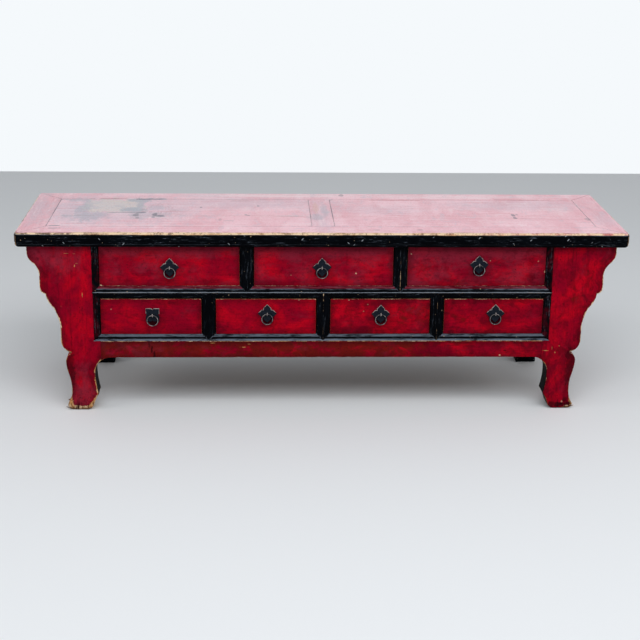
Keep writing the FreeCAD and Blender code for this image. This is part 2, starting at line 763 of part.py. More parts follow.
def cabinet():
    leg_blank = front_leg_blank()
    front_pieces, rail_tenons, divider_tenons = front_frame(leg_blank)
    front_tenons = leg_tenons("front_leg_tenon", f"{INNER} + post_width / 2", f"{FRONT} + leg_depth / 2")
    rear_tenons = leg_tenons("rear_leg_tenon", f"{REAR_LEG_INNER} + rear_leg_width / 2",
                             f"{BACK} - leg_depth / 2")
    tongue = wing_tongue()
    apron_end = apron_tongue()
    rear_pieces, back_panel = rear_frame()
    end_pieces, end_panel = end_frames()
    return [
        *top_frame(front_tenons + divider_tenons, rear_tenons),
        *top_panels(),
        *top_battens(),
        *front_legs(leg_blank, [*rail_tenons, tongue, apron_end, end_panel], front_tenons[0]),
        *rear_legs([back_panel, end_panel], rear_tenons[0]),
        *wings(tongue),
        *front_pieces,
        apron(apron_end),
        *rear_pieces,
        *end_pieces,
        runners("upper_runners", 3, UPPER_PITCH, MIDDLE_TOP, BEARER_FRONT),
        runners("lower_runners", 4, LOWER_PITCH, BOTTOM_TOP, FRAME_FRONT),
        *drawer_row(1, UPPER_PULLS, UPPER_PITCH, MIDDLE_TOP, UNDER),
        *drawer_row(4, LOWER_PULLS, LOWER_PITCH, BOTTOM_TOP, MIDDLE_LOW),
    ]


def write(pieces):
    """Stops on any failed object or bad shape, then writes one file for each sub-part."""
    doc.recompute()
    for item in doc.Objects:
        if "Invalid" in item.State or "Error" in item.State:
            raise RuntimeError(f"{item.Label} failed: {item.State}")
    for piece in pieces:
        if piece.Shape.isNull() or not piece.Shape.isValid():
            raise RuntimeError(f"{piece.Label} has no valid shape")
    os.makedirs("parts", exist_ok=True)
    for piece in pieces:
        piece.Shape.exportStep(os.path.join("parts", piece.Label + ".step"))


write(cabinet())
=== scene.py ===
import json
import math
import random
from dataclasses import dataclass
from typing import Callable, NamedTuple

import bmesh
import bpy
import numpy as np
from bpy.props import FloatProperty, FloatVectorProperty, PointerProperty
from mathutils import Matrix, Vector, noise
from mathutils.bvhtree import BVHTree
from mathutils.kdtree import KDTree

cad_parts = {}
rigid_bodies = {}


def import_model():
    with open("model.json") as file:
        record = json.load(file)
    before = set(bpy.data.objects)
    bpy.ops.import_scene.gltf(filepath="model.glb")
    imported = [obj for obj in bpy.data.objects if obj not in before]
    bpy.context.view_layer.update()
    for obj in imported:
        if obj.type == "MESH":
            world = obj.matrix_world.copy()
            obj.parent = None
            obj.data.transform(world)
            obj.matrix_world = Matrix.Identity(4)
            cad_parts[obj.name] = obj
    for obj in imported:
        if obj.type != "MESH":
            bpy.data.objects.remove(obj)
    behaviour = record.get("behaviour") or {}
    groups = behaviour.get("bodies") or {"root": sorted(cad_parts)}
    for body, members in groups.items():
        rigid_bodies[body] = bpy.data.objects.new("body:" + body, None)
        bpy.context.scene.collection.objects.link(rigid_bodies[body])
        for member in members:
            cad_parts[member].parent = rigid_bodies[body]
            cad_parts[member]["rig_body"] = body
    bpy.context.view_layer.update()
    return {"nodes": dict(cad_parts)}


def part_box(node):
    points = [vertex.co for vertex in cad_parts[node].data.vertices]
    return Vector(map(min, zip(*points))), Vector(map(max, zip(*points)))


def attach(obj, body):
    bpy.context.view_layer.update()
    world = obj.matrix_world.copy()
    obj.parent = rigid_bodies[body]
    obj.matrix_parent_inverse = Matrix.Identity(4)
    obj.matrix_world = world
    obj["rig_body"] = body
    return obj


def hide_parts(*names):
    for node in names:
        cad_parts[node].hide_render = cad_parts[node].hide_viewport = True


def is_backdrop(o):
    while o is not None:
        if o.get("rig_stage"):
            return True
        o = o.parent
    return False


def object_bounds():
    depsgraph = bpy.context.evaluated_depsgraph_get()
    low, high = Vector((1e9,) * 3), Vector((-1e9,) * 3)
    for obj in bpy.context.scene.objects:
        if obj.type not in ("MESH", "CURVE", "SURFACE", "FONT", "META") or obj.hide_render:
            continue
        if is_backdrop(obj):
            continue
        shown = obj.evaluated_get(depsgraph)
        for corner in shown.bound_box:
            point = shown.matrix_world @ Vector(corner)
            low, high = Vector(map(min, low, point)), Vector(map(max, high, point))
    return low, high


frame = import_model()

bl_info = {
    "name": "Altar Cabinet",
    "version": (1, 0, 0),
    "blender": (4, 5, 0),
    "location": "3D View > Sidebar > Altar Cabinet",
    "description": "Dresses the altar cabinet in worn red and black lacquer, bare wood and iron",
    "category": "Object",
}

MM = 0.001
X, Y, Z = 0, 1, 2

# Edges sharper than this are arrises, and faces flatter than this to each other are one face.
SHARP = math.radians(32)
FLAT = math.radians(0.4)

# A face counts as covered if another piece is this close to it, looked for this far in from the edge.
TOUCH = 0.2 * MM
INSET = 2.5 * MM

# A joint edge softened no more than this is flush, and gathers no dirt.
FLUSH = 0.2 * MM

# A point this close to a cut through a mesh counts as being on it.
ON_CUT = 0.3 * MM

# Edges of a finished wooden or iron mesh sharper than this are shaded sharp.
WOOD_CREASE = math.radians(48)
IRON_CREASE = math.radians(50)

# Layers of unevenness, each with its fineness and weight: planing all over, knocks near an open edge, and
# losses at the soles.
PLANING = (9, 0.7), (31, 0.3)
KNOCKS = (18, 0.64), (62, 0.56), (140, 0.4)
LOSSES = (48, 0.6), (120, 0.4)


def srgb(red, green, blue):
    """A colour as a picture shows it, from 0 to 255, as the linear values that the sockets take."""
    def linear(level):
        share = level / 255
        return share / 12.92 if share <= 0.04045 else ((share + 0.055) / 1.055) ** 2.4
    return tuple(linear(level) for level in (red, green, blue))


# Settings

def colour(name, description, *levels):
    """A colour setting, given as a picture shows it."""
    return FloatVectorProperty(name=name, description=description, subtype="COLOR", size=3,
                               min=0, max=1, default=srgb(*levels))


def length(name, description, default):
    """A length setting in metres."""
    return FloatProperty(name=name, description=description, subtype="DISTANCE", unit="LENGTH",
                         min=0, precision=4, default=default)


class LacquerColours(bpy.types.PropertyGroup):
    """Colours of the finishes"""
    red: colour("Red", "Red lacquer on the case and drawers", 142, 0, 31)
    bright_red: colour("Bright red", "Red lacquer where it is rubbed bright", 192, 2, 28)
    deep_red: colour("Deep red", "Red lacquer where it has darkened", 86, 2, 20)
    brown_red: colour("Brown red", "Red lacquer stained brown", 110, 22, 15)
    # Red haze is also laid on thickest at the tops of the upper drawers, as painted light over the shade of
    # the top's overhang
    red_haze: colour("Red haze", "Scuffed lacquer with a dull bloom", 138, 40, 60)
    # Grime also serves as painted shade: by the open edges, and as a painted shadow inside the rings of the
    # pulls
    grime_and_shade: colour("Grime", "Dirt along edges and in pits", 28, 3, 8)
    black: colour("Black", "Black lacquer", 3, 4, 7)
    # Black sheen is a painted sheen: bluish patches standing in for reflected light
    black_sheen: colour("Black sheen", "Black lacquer where it is rubbed smooth", 6, 9, 14)
    # A painted sheen of the light from above on black lacquer that faces up, partly dust, and also the colour
    # of its scratches and rubbing
    painted_sheen_and_scuffs: colour("Black bloom", "Dust and rubbing on black lacquer that faces up", 116, 126, 140)
    # A painted highlight along the upward ridges of black lacquer, and also the colour of its pale scratches
    painted_highlight_and_scratches: colour("Pale bloom", "Rubbing along the ridges of black lacquer", 214, 222, 230)
    # The top's base colour is bleached lacquer, paled further by painted glare
    faded_red_and_glare: colour("Faded red", "Lacquer of the top, bleached", 232, 166, 178)
    rose: colour("Rose", "Lacquer of the top where it is paler", 247, 199, 209)
    bleached: colour("Bleached", "Lacquer of the top where it is palest", 246, 222, 226)
    lilac: colour("Lilac", "Greyed lacquer of the top", 204, 182, 195)
    top_red: colour("Top red", "Streaks of sound lacquer left on the top", 204, 96, 112)
    beige: colour("Beige", "Lacquer of the top worn through", 206, 196, 195)
    slate: colour("Slate", "Blue-grey stains on the top", 150, 158, 172)
    smudge: colour("Smudge", "Dark marks and seams on the top", 84, 84, 98)
    rosewood: colour("Rosewood", "Dark red lines of the top", 166, 84, 96)
    tan: colour("Tan", "Bare wood on worn arrises", 206, 150, 92)
    cream: colour("Cream", "Ground coat in chips and on rubbed edges", 238, 206, 168)
    wood: colour("Wood", "Old bare wood", 132, 98, 66)
    dark_wood: colour("Dark wood", "Grain and stains of old bare wood", 74, 50, 34)
    iron: colour("Iron", "Wrought iron of the pulls", 22, 28, 38)
    # A painted highlight on the iron's upper rims, ring fronts and eyes, partly real rubbing
    iron_highlight_and_rub: colour("Rubbed iron", "Iron rubbed bright on rims and rings", 206, 192, 188)


class WearSizes(bpy.types.PropertyGroup):
    """Sizes of the softened edges and of the hand work"""
    arris: length("Arris", "Width of a softened edge", 1.6 * MM)
    seam: length("Seam", "Width of a softened edge at a joint", 0.5 * MM)
    top_arris: length("Top arris", "Width of the worn edge round the top", 6.5 * MM)
    sole: length("Sole", "Width of the worn edge under a foot", 5 * MM)
    grid: length("Grid", "Largest face of a piece's mesh", 11 * MM)
    plane_marks: length("Plane marks", "Depth of the hand planing", 0.45 * MM)
    dents: length("Dents", "Depth of the dents along an edge", 1.3 * MM)
    dent_reach: length("Dent reach", "How far the dents run in from an edge", 7 * MM)
    groove: length("Groove", "Depth of the groove between the beads of a rail", 2.4 * MM)
    quirk: length("Quirk", "Half width of the line run along the top's edge", 2.4 * MM)
    quirk_rise: length("Quirk rise", "Height of that line above the underside of the top", 11 * MM)
    chewed: length("Chewed", "Depth of the losses at the soles of the feet", 6 * MM)
    corner: length("Corner", "Radius of the top's worn corners", 15 * MM)


class PullSizes(bpy.types.PropertyGroup):
    """Sizes of the iron pulls beyond what the frame gives"""
    reach: length("Reach", "From the eye to a corner of the plate", 27.5 * MM)
    notch: FloatProperty(name="Notch", description="Depth of a plate's notches as a share of its reach",
                         min=0, max=1, default=16 / 27.5)
    rim: length("Rim", "Height of the raised rim of a plate", 0.7 * MM)
    boss: length("Boss", "Height of the middle of a plate", 1.2 * MM)
    eye_wire: length("Eye wire", "Thickness of the staple's wire", 3 * MM)


class StageSettings(bpy.types.PropertyGroup):
    """Floor, light and camera"""
    floor: colour("Floor", "Colour of the floor as the camera sees it", 236, 237, 239)
    floor_bounce: colour("Floor bounce", "Colour of the light that the floor throws back", 205, 205, 206)
    backdrop: colour("Backdrop", "Colour behind the cabinet as the camera sees it", 245, 249, 252)
    key: FloatProperty(name="Key light", description="Power of the light above the front", subtype="POWER",
                       unit="POWER", default=120)
    fill: FloatProperty(name="Fill light", description="Power of each light at the sides", subtype="POWER",
                        unit="POWER", default=14)
    sky: FloatProperty(name="Sky", description="Strength of the light from all round", default=0.4)
    lens: FloatProperty(name="Lens", description="Focal length of the camera in millimetres", default=79.637)
    eye: FloatVectorProperty(name="Eye", description="Place of the camera", subtype="TRANSLATION",
                             unit="LENGTH", default=(-0.18951, -4.1374, 1.53712))
    aim: FloatVectorProperty(name="Aim", description="Pitch down, turn to the right and roll of the camera",
                             subtype="EULER", unit="ROTATION",
                             default=tuple(math.radians(angle) for angle in (17.878, 2.643, 0.771)))


# Solids of the frame

def split_solids(node):
    """The closed solids of a node, each a list of triangles of corner points: a solid ends where every
    edge has met its other side."""
    mesh = frame["nodes"][node].data
    mesh.calc_loop_triangles()
    corners = [tuple(round(number, 6) for number in vertex.co) for vertex in mesh.vertices]
    solids, triangles, waiting = [], [], {}
    for triangle in mesh.loop_triangles:
        points = [corners[index] for index in triangle.vertices]
        triangles.append(points)
        for start, end in zip(points, points[1:] + points[:1]):
            if waiting.get((end, start)):
                waiting[end, start] -= 1
                if not waiting[end, start]:
                    del waiting[end, start]
            else:
                waiting[start, end] = waiting.get((start, end), 0) + 1
        if not waiting:
            solids.append(triangles)
            triangles = []
    return solids


class Solid:
    """One solid of the frame, with what is needed to tell whether a point is inside it."""

    def __init__(self, triangles):
        self.triangles = triangles
        points = [Vector(point) for triangle in triangles for point in triangle]
        self.low = Vector(min(point[axis] for point in points) for axis in range(3))
        self.high = Vector(max(point[axis] for point in points) for axis in range(3))
        self.tree = BVHTree.FromPolygons(points, [(i, i + 1, i + 2) for i in range(0, len(points), 3)])

    def holds(self, point):
        """Whether a point is inside."""
        if any(point[axis] < self.low[axis] or point[axis] > self.high[axis] for axis in range(3)):
            return False
        nearest, normal, _, _ = self.tree.find_nearest(point)
        return (point - nearest).dot(normal) < 0


SOLIDS = {node: [Solid(triangles) for triangles in split_solids(node)] for node in frame["nodes"]}


def covered(point, own):
    """Whether a point lies in a solid other than its own."""
    return any(solid.holds(point) for solids in SOLIDS.values() for solid in solids if solid is not own)


# Wooden pieces

def whole_faces(solid):
    """The solid as a mesh whose flat faces are in one piece."""
    shape = bmesh.new()
    corners = {}
    for triangle in solid.triangles:
        for point in triangle:
            if point not in corners:
                corners[point] = shape.verts.new(point)
        if len(set(triangle)) == 3:
            shape.faces.new([corners[point] for point in triangle])
    shape.normal_update()
    bmesh.ops.dissolve_limit(shape, angle_limit=FLAT, verts=shape.verts[:], edges=shape.edges[:])
    shape.normal_update()
    return shape


def edge_middle(edge):
    """The point half way along an edge."""
    return (edge.verts[0].co + edge.verts[1].co) / 2


def face_is_free(edge, loop, own):
    """Whether the face beside an edge is open to the air there."""
    along = loop.link_loop_next.vert.co - loop.vert.co
    inward = loop.face.normal.cross(along).normalized()
    return not covered(edge_middle(edge) + inward * INSET + loop.face.normal * TOUCH, own)


def arrises(shape, own):
    """The sharp outer edges of a mesh: those open on both sides, and those at a joint."""
    open_edges, joint_edges = [], []
    for edge in shape.edges:
        if len(edge.link_faces) != 2 or edge.calc_face_angle_signed() < SHARP:
            continue
        free = sum(face_is_free(edge, loop, own) for loop in edge.link_loops)
        if free == 2:
            open_edges.append(edge)
        elif free == 1:
            joint_edges.append(edge)
    return open_edges, joint_edges


def edge_points(edges, spacing=2 * MM):
    """Points along edges, for measuring how far a surface is from them."""
    points = []
    for edge in edges:
        start, end = (vertex.co for vertex in edge.verts)
        count = max(2, math.ceil((end - start).length / spacing))
        points += [start.lerp(end, step / count) for step in range(count + 1)]
    return points


def softened(shape, widths):
    """The mesh with each edge rounded to its own width."""
    widest = max(widths.values())
    mesh = bpy.data.meshes.new("softened")
    shape.edges.index_update()
    weights = np.zeros(len(shape.edges), np.float32)
    for edge, width in widths.items():
        weights[edge.index] = width / widest
    shape.to_mesh(mesh)
    mesh.attributes.new("bevel_weight_edge", "FLOAT", "EDGE").data.foreach_set("value", weights)
    bench = bpy.data.objects.new("bench", mesh)
    bpy.context.scene.collection.objects.link(bench)
    plane = bench.modifiers.new("round", "BEVEL")
    plane.limit_method = "WEIGHT"
    plane.width = widest
    plane.segments = 3
    plane.use_clamp_overlap = False
    made = bench.evaluated_get(bpy.context.evaluated_depsgraph_get())
    shape.clear()
    shape.from_mesh(made.data)
    bpy.data.objects.remove(bench)
    bpy.data.meshes.remove(mesh)


def slice_up(shape, solid, grid):
    """Cuts a mesh across on all three axes, so that its faces are no larger than the grid."""
    for axis in range(3):
        low, high = solid.low[axis], solid.high[axis]
        count = max(1, round((high - low) / grid[axis]))
        for step in range(1, count):
            spot = Vector((0, 0, 0))
            spot[axis] = low + (high - low) * step / count
            normal = Vector((0, 0, 0))
            normal[axis] = 1
            bmesh.ops.bisect_plane(shape, geom=shape.verts[:] + shape.edges[:] + shape.faces[:],
                                   dist=ON_CUT, plane_co=spot, plane_no=normal)


def search_tree(targets):
    """The targets, sorted for finding the nearest one to a point."""
    tree = KDTree(len(targets))
    for index, target in enumerate(targets):
        tree.insert(target, index)
    tree.balance()
    return tree


def gaps_to(points, targets, far=0.2):
    """Distance of each point to the nearest target."""
    if not targets:
        return np.full(len(points), far, np.float32)
    tree = search_tree(targets)
    return np.array([tree.find(point)[2] for point in points], np.float32)


def rough(point, layers, shift=Vector()):
    """Unevenness at a point, from layers of noise."""
    return sum(noise.noise(point * fineness + shift) * weight for fineness, weight in layers)


def hand_worked(points, normals, arris, sizes, seed, work):
    """Points pressed in by planing all over, by dents near the open edges and by the piece's carving."""
    shift = Vector((seed * 3.1, seed * 1.7, seed * 2.3))
    moved = []
    for point, normal, gap in zip(points, normals, arris):
        depth = sizes.plane_marks * (0.5 + 0.5 * rough(point, PLANING, shift))
        near = 1 - gap / sizes.dent_reach
        if near > 0:
            depth += sizes.dents * work.dents * max(0, rough(point, KNOCKS, shift)) * near
        if work.carve:
            depth += work.carve(point, normal)
        moved.append(point - normal * depth)
    return moved


def steady(level):
    """A rule that gives the same level everywhere."""
    return lambda point: level


@dataclass
class Work:
    """How the pieces for a node are worked. A rule takes a point, and what else its comment says."""
    grain: int = X                # axis of the grain
    width: Callable = None        # rule for an edge's width, which takes its usual width too
    wear: Callable = steady(0.5)  # rule for how far the open edges are rubbed
    paint: Callable = None        # rule for which material a face has, which takes its normal too
    grid: tuple = None            # largest face of the mesh on each axis
    tone: Callable = steady(0.5)  # rule for how stained the finish is
    dents: float = 1.0            # depth of the dents against the usual one
    carve: Callable = None        # rule for how deep the carving is, which takes the normal too
    bend: Callable = None         # rule that gives each point its last place
    batch: int = None             # number of the pieces whose grain runs on from one to the next
    marks: tuple = ()             # points round which hand grime and a painted shadow gather
    dull: Callable = steady(0.5)  # rule for how dull the finish is
    rubbed: Callable = None       # rule for which joint edges are rubbed like open ones


def work_solid(solid, work, sizes, seed):
    """Arrays of one worked solid: points, faces, their paint, and what the finishes read."""
    shape = whole_faces(solid)
    open_edges, joint_edges = arrises(shape, solid)
    widths = {edge: sizes.arris for edge in open_edges}
    widths.update({edge: sizes.seam for edge in joint_edges})
    if work.width:
        for edge in widths:
            widths[edge] = work.width(edge_middle(edge), widths[edge])
    rubbed = [edge for edge in joint_edges if work.rubbed and work.rubbed(edge_middle(edge))]
    open_points = edge_points(open_edges + rubbed)
    joint_points = edge_points([edge for edge in joint_edges if widths[edge] > FLUSH])
    if widths:
        softened(shape, widths)
    slice_up(shape, solid, work.grid or (sizes.grid,) * 3)
    shape.normal_update()
    shape.verts.index_update()
    points = [vertex.co.copy() for vertex in shape.verts]
    normals = [vertex.normal.copy() for vertex in shape.verts]
    faces = [[vertex.index for vertex in face.verts] for face in shape.faces]
    paint = [work.paint(face.calc_center_median(), face.normal) if work.paint else 0 for face in shape.faces]
    shape.free()
    arris = gaps_to(points, open_points)
    seam = gaps_to(points, joint_points)
    draw = random.Random(work.batch or seed)
    shift = np.array([draw.uniform(-5, 5) for _ in range(3)])
    order = [work.grain, *(axis for axis in (X, Y, Z) if axis != work.grain)]
    reads = {
        "arris": arris,
        "seam": seam,
        "grain": np.array(points)[:, order] + shift,
        "wear": np.array([work.wear(point) for point in points]),
        "tone": np.array([work.tone(point) for point in points]) + draw.uniform(-0.06, 0.06),
        "dull": np.array([work.dull(point) for point in points]) + draw.uniform(-0.05, 0.05),
        "mark": gaps_to(points, work.marks),
    }
    moved = hand_worked(points, normals, arris, sizes, work.batch or seed, work)
    if work.bend:
        moved = [work.bend(point) for point in moved]
    return moved, faces, paint, reads


def dress(node, materials, work):
    """Makes the visible piece for a wooden node, in the node's place and on its body."""
    sizes = bpy.context.scene.altar_wear
    points, faces, paint, reads = [], [], [], []
    for number, solid in enumerate(SOLIDS[node]):
        seed = sum(ord(letter) * place for place, letter in enumerate(node, start=1)) % 997 + number * 13
        more, more_faces, more_paint, read = work_solid(solid, work, sizes, seed)
        faces += [[index + len(points) for index in face] for face in more_faces]
        points += more
        paint += more_paint
        reads.append(read)
    mesh = bpy.data.meshes.new(node + "_finished")
    mesh.from_pydata(points, [], faces)
    for name in reads[0]:
        values = np.concatenate([read[name] for read in reads]).astype(np.float32)
        if values.ndim == 2:
            mesh.attributes.new(name, "FLOAT_VECTOR", "POINT").data.foreach_set("vector", values.ravel())
        else:
            mesh.attributes.new(name, "FLOAT", "POINT").data.foreach_set("value", values)
    for material in materials:
        mesh.materials.append(bpy.data.materials[material])
    mesh.polygons.foreach_set("material_index", paint)
    mesh.shade_smooth()
    mesh.set_sharp_from_angle(angle=WOOD_CREASE)
    return put(node + "_finished", mesh, node)


def put(name, mesh, node):
    """Puts a mesh in the scene in place of a CAD node."""
    piece = bpy.data.objects.new(name, mesh)
    bpy.context.scene.collection.objects.link(piece)
    weighted = piece.modifiers.new("weighted", "WEIGHTED_NORMAL")
    weighted.keep_sharp = True
    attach(piece, frame["nodes"][node]["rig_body"])
    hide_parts(node)
    return piece


# Iron pieces

def tube(path, radii, sides=14, closed=True):
    """Points and faces of a round bar that follows a path."""
    count = len(path)
    points, faces = [], []
    for step, spot in enumerate(path):
        if closed:
            before, after = step - 1, (step + 1) % count
        else:
            before, after = max(step - 1, 0), min(step + 1, count - 1)
        along = (path[after] - path[before]).normalized()
        across = across - along * across.dot(along) if step else along.orthogonal()
        across.normalize()
        up = along.cross(across)
        for side in range(sides):
            turn = 2 * math.pi * side / sides
            points.append(spot + (across * math.cos(turn) + up * math.sin(turn)) * radii[step])
    for step in range(count if closed else count - 1):
        first, second = step * sides, (step + 1) % count * sides
        for side in range(sides):
            other = (side + 1) % sides
            faces.append([first + side, first + other, second + other, second + side])
    if not closed:
        faces.append(list(range(sides))[::-1])
        faces.append([(count - 1) * sides + side for side in range(sides)])
    return points, faces


def circle(centre, radius, first, second, count):
    """Points round a circle, from its first direction towards its second."""
    return [centre + (first * math.cos(turn) + second * math.sin(turn)) * radius
            for turn in (2 * math.pi * step / count for step in range(count))]


def iron_mesh(name, groups, arris):
    """A mesh of the iron finish from groups of points and faces."""
    points, faces = [], []
    for more, more_faces in groups:
        faces += [[index + len(points) for index in face] for face in more_faces]
        points += more
    mesh = bpy.data.meshes.new(name)
    mesh.from_pydata(points, [], faces)
    # For iron the arris read is the distance to where its painted highlight falls
    gaps = np.array([arris(point) for point in points], np.float32)
    mesh.attributes.new("arris", "FLOAT", "POINT").data.foreach_set("value", gaps)
    mesh.materials.append(bpy.data.materials["wrought_iron"])
    mesh.shade_smooth()
    mesh.set_sharp_from_angle(angle=IRON_CREASE)
    return mesh


class Pull(NamedTuple):
    """A pull in the frame: its plate and staple, its eye, and the radius and half thickness of its ring."""
    plate: Solid
    staple: Solid
    eye: Vector
    radius: float
    wire: float


def pull_frame(number):
    """Where the pull of a drawer sits."""
    plate, staple = SOLIDS[f"drawer_{number}_pull"]
    ring = SOLIDS[f"drawer_{number}_ring"][0]
    middle = (ring.low + ring.high) / 2
    wire = (ring.high.y - ring.low.y) / 2
    radius = (ring.high.x - ring.low.x) / 2 - wire
    return Pull(plate, staple, middle + Vector((0, 0, radius)), radius, wire)


def plate_outline(reach, notch, turn, steps=4):
    """Outline of a square plate about its middle, with a corner up and a notch in the middle of each side."""
    notch_from, notch_to = 0.41, 0.59
    corners = []
    for quarter in range(4):
        tip, half, next_tip = (turn + (quarter + share) * math.pi / 2 for share in (0, 0.5, 1))
        start = Vector((math.cos(tip), 0, math.sin(tip))) * reach
        end = Vector((math.cos(next_tip), 0, math.sin(next_tip))) * reach
        dip = Vector((math.cos(half), 0, math.sin(half))) * reach * notch
        corners += [start, start.lerp(end, notch_from), dip, start.lerp(end, notch_to)]
    outline = []
    for start, end in zip(corners, corners[1:] + corners[:1]):
        outline += [start.lerp(end, step / steps) for step in range(steps)]
    return outline


def plate_shell(pull, outline, sizes):
    """Points and faces of a hammered plate: flat back, raised rim, sunk field and a boss at the eye."""
    front, back = pull.plate.low.y, pull.plate.high.y
    hammered, fineness = 0.25 * MM, 160
    shift = pull.eye * 40
    # The lines round the plate from its back to its boss: share of the outline and depth of each.
    levels = [(0.97, back), (1.0, back - 0.4 * MM), (1.0, front), (0.985, front - sizes.rim),
              (0.91, front - sizes.rim), (0.87, front), (0.7, front + 0.2 * MM), (0.5, front),
              (0.33, front - 0.2 * MM), (0.22, front - sizes.boss), (0.12, front - sizes.boss * 1.2)]
    points, faces = [], []
    for share, depth in levels:
        for spot in outline:
            place = Vector((pull.eye.x + spot.x * share, depth, pull.eye.z + spot.z * share))
            if depth < back - MM:
                place.y += noise.noise(Vector((spot.x, depth, spot.z)) * fineness + shift) * hammered
            points.append(place)
    count = len(outline)
    for level in range(len(levels) - 1):
        for step in range(count):
            other = (step + 1) % count
            faces.append([(level + 1) * count + step, (level + 1) * count + other,
                          level * count + other, level * count + step])
    faces.append(list(range(count)))
    faces.append([(len(levels) - 1) * count + step for step in range(count)][::-1])
    return points, faces


def staple_bar(pull, sizes):
    """Points and faces of the staple: a loop round the ring, a shank and two clenched ends."""
    plate, staple, eye = pull.plate, pull.staple, pull.eye
    thick = sizes.eye_wire / 2
    radius = (eye.y - staple.low.y) - thick
    loop = circle(eye, radius, Vector((0, -1, 0)), Vector((0, 0, 1)), 28)
    swell = [thick * (1 + 0.08 * noise.noise(spot * 300)) for spot in loop]
    inside = staple.high.y - MM
    # The shank from the loop to its end: depth, and thickness against the loop's.
    neck = [(eye.y + radius, 1.2), (plate.low.y - sizes.boss, 1.5), (plate.high.y, 1.3), (inside, 1.3)]
    shank = tube([Vector((eye.x, depth, eye.z)) for depth, _ in neck], [thick * share for _, share in neck],
                 closed=False)
    half = (staple.high.x - staple.low.x) / 2
    # The clenched ends from left to right: share of the half width, and thickness.
    taper = [(-1, 0.6 * MM), (-0.6, 1 * MM), (-0.2, 1.3 * MM), (0.2, 1.3 * MM), (0.6, 1 * MM), (1, 0.6 * MM)]
    ends = [Vector((eye.x + half * share, inside - 0.3 * MM * abs(share), eye.z)) for share, _ in taper]
    clench = tube(ends, [thickness for _, thickness in taper], closed=False)
    return [tube(loop, swell), shank, clench]


# Shader nodes

class Value:
    """A socket of a finish. Arithmetic on it adds Math nodes."""

    def __init__(self, paint, socket):
        self.paint = paint
        self.socket = socket

    def __add__(self, other):
        return self.paint.maths("ADD", self, other)

    __radd__ = __add__

    def __sub__(self, other):
        return self.paint.maths("SUBTRACT", self, other)

    def __rsub__(self, other):
        return self.paint.maths("SUBTRACT", other, self)

    def __mul__(self, other):
        return self.paint.maths("MULTIPLY", self, other)

    __rmul__ = __mul__

    def __truediv__(self, other):
        return self.paint.maths("DIVIDE", self, other)

    def __rtruediv__(self, other):
        return self.paint.maths("DIVIDE", other, self)

    def __pow__(self, other):
        return self.paint.maths("POWER", self, other)

    def __rpow__(self, other):
        return self.paint.maths("POWER", other, self)

    def __abs__(self):
        return self.paint.maths("ABSOLUTE", self, 0)

    def swing(self, size):
        """A level about one half as a swing about nothing."""
        return (self - 0.5) * size

    def step(self, low, high):
        """0 at low, 1 at high, with a soft step between. Low may be the greater of the two."""
        return self.paint.node("ShaderNodeMapRange", {"interpolation_type": "SMOOTHSTEP"},
                               {"Value": self, "From Min": low, "From Max": high})


class Paint:
    """The nodes of one material or of the world."""

    def __init__(self, owner):
        owner.use_nodes = True
        self.tree = owner.node_tree
        self.tree.nodes.clear()

    def node(self, kind, settings=None, inputs=None, output=0):
        """Adds a node: its settings first, then the values or links of its sockets."""
        made = self.tree.nodes.new(kind)
        for name, setting in (settings or {}).items():
            setattr(made, name, setting)
        for name, given in (inputs or {}).items():
            if isinstance(given, Value):
                self.tree.links.new(given.socket, made.inputs[name])
            else:
                made.inputs[name].default_value = given
        return Value(self, made.outputs[output]) if made.outputs else made

    def maths(self, operation, first, second):
        return self.node("ShaderNodeMath", {"operation": operation}, {0: first, 1: second})

    def place(self):
        """The point on the piece in the frame's axes."""
        return self.node("ShaderNodeTexCoord", output="Object")

    def facing(self):
        """The piece's own normal."""
        return self.node("ShaderNodeTexCoord", output="Normal")

    def attribute(self, name, output="Fac"):
        return self.node("ShaderNodeAttribute", {"attribute_name": name}, output=output)

    def part(self, vector, axis):
        return self.node("ShaderNodeSeparateXYZ", inputs={0: vector}, output=axis)

    def joined(self, x, y, z):
        return self.node("ShaderNodeCombineXYZ", inputs={0: x, 1: y, 2: z})

    def stretched(self, vector, *scale):
        return self.node("ShaderNodeVectorMath", {"operation": "MULTIPLY"}, {0: vector, 1: scale})

    def cloud(self, vector, scale, detail=4.0, rough=0.55, twist=0.0, output=0):
        inputs = {"Vector": vector, "Scale": scale, "Detail": detail, "Roughness": rough, "Distortion": twist}
        return self.node("ShaderNodeTexNoise", inputs=inputs, output=output)

    def streaks(self, grain, narrow, scale, detail, rough, twist=0.0):
        """Clouds drawn out along the grain, so many times narrower across it."""
        return self.cloud(self.stretched(grain, 1, narrow, narrow), scale, detail, rough, twist)

    def cells(self, vector, scale, output="Distance"):
        return self.node("ShaderNodeTexVoronoi", inputs={"Vector": vector, "Scale": scale}, output=output)

    def larger(self, first, second):
        return self.maths("MAXIMUM", first, second)

    def mixed(self, first, second, share):
        """Two colours, by the share of the second."""
        first, second = (tint if isinstance(tint, Value) else (*tint, 1) for tint in (first, second))
        return self.node("ShaderNodeMix", {"data_type": "RGBA"}, {0: share, 6: first, 7: second}, output=2)

    def coats(self, skin, *coats):
        """A colour under further coats, each with its colour and share."""
        for tint, share in coats:
            skin = self.mixed(skin, tint, share)
        return skin

    def bump(self, height, depth, strength):
        return self.node("ShaderNodeBump", inputs={"Height": height, "Distance": depth, "Strength": strength},
                         output="Normal")

    def surface(self, inputs):
        shader = self.node("ShaderNodeBsdfPrincipled", inputs=inputs)
        self.node("ShaderNodeOutputMaterial", inputs={"Surface": shader})


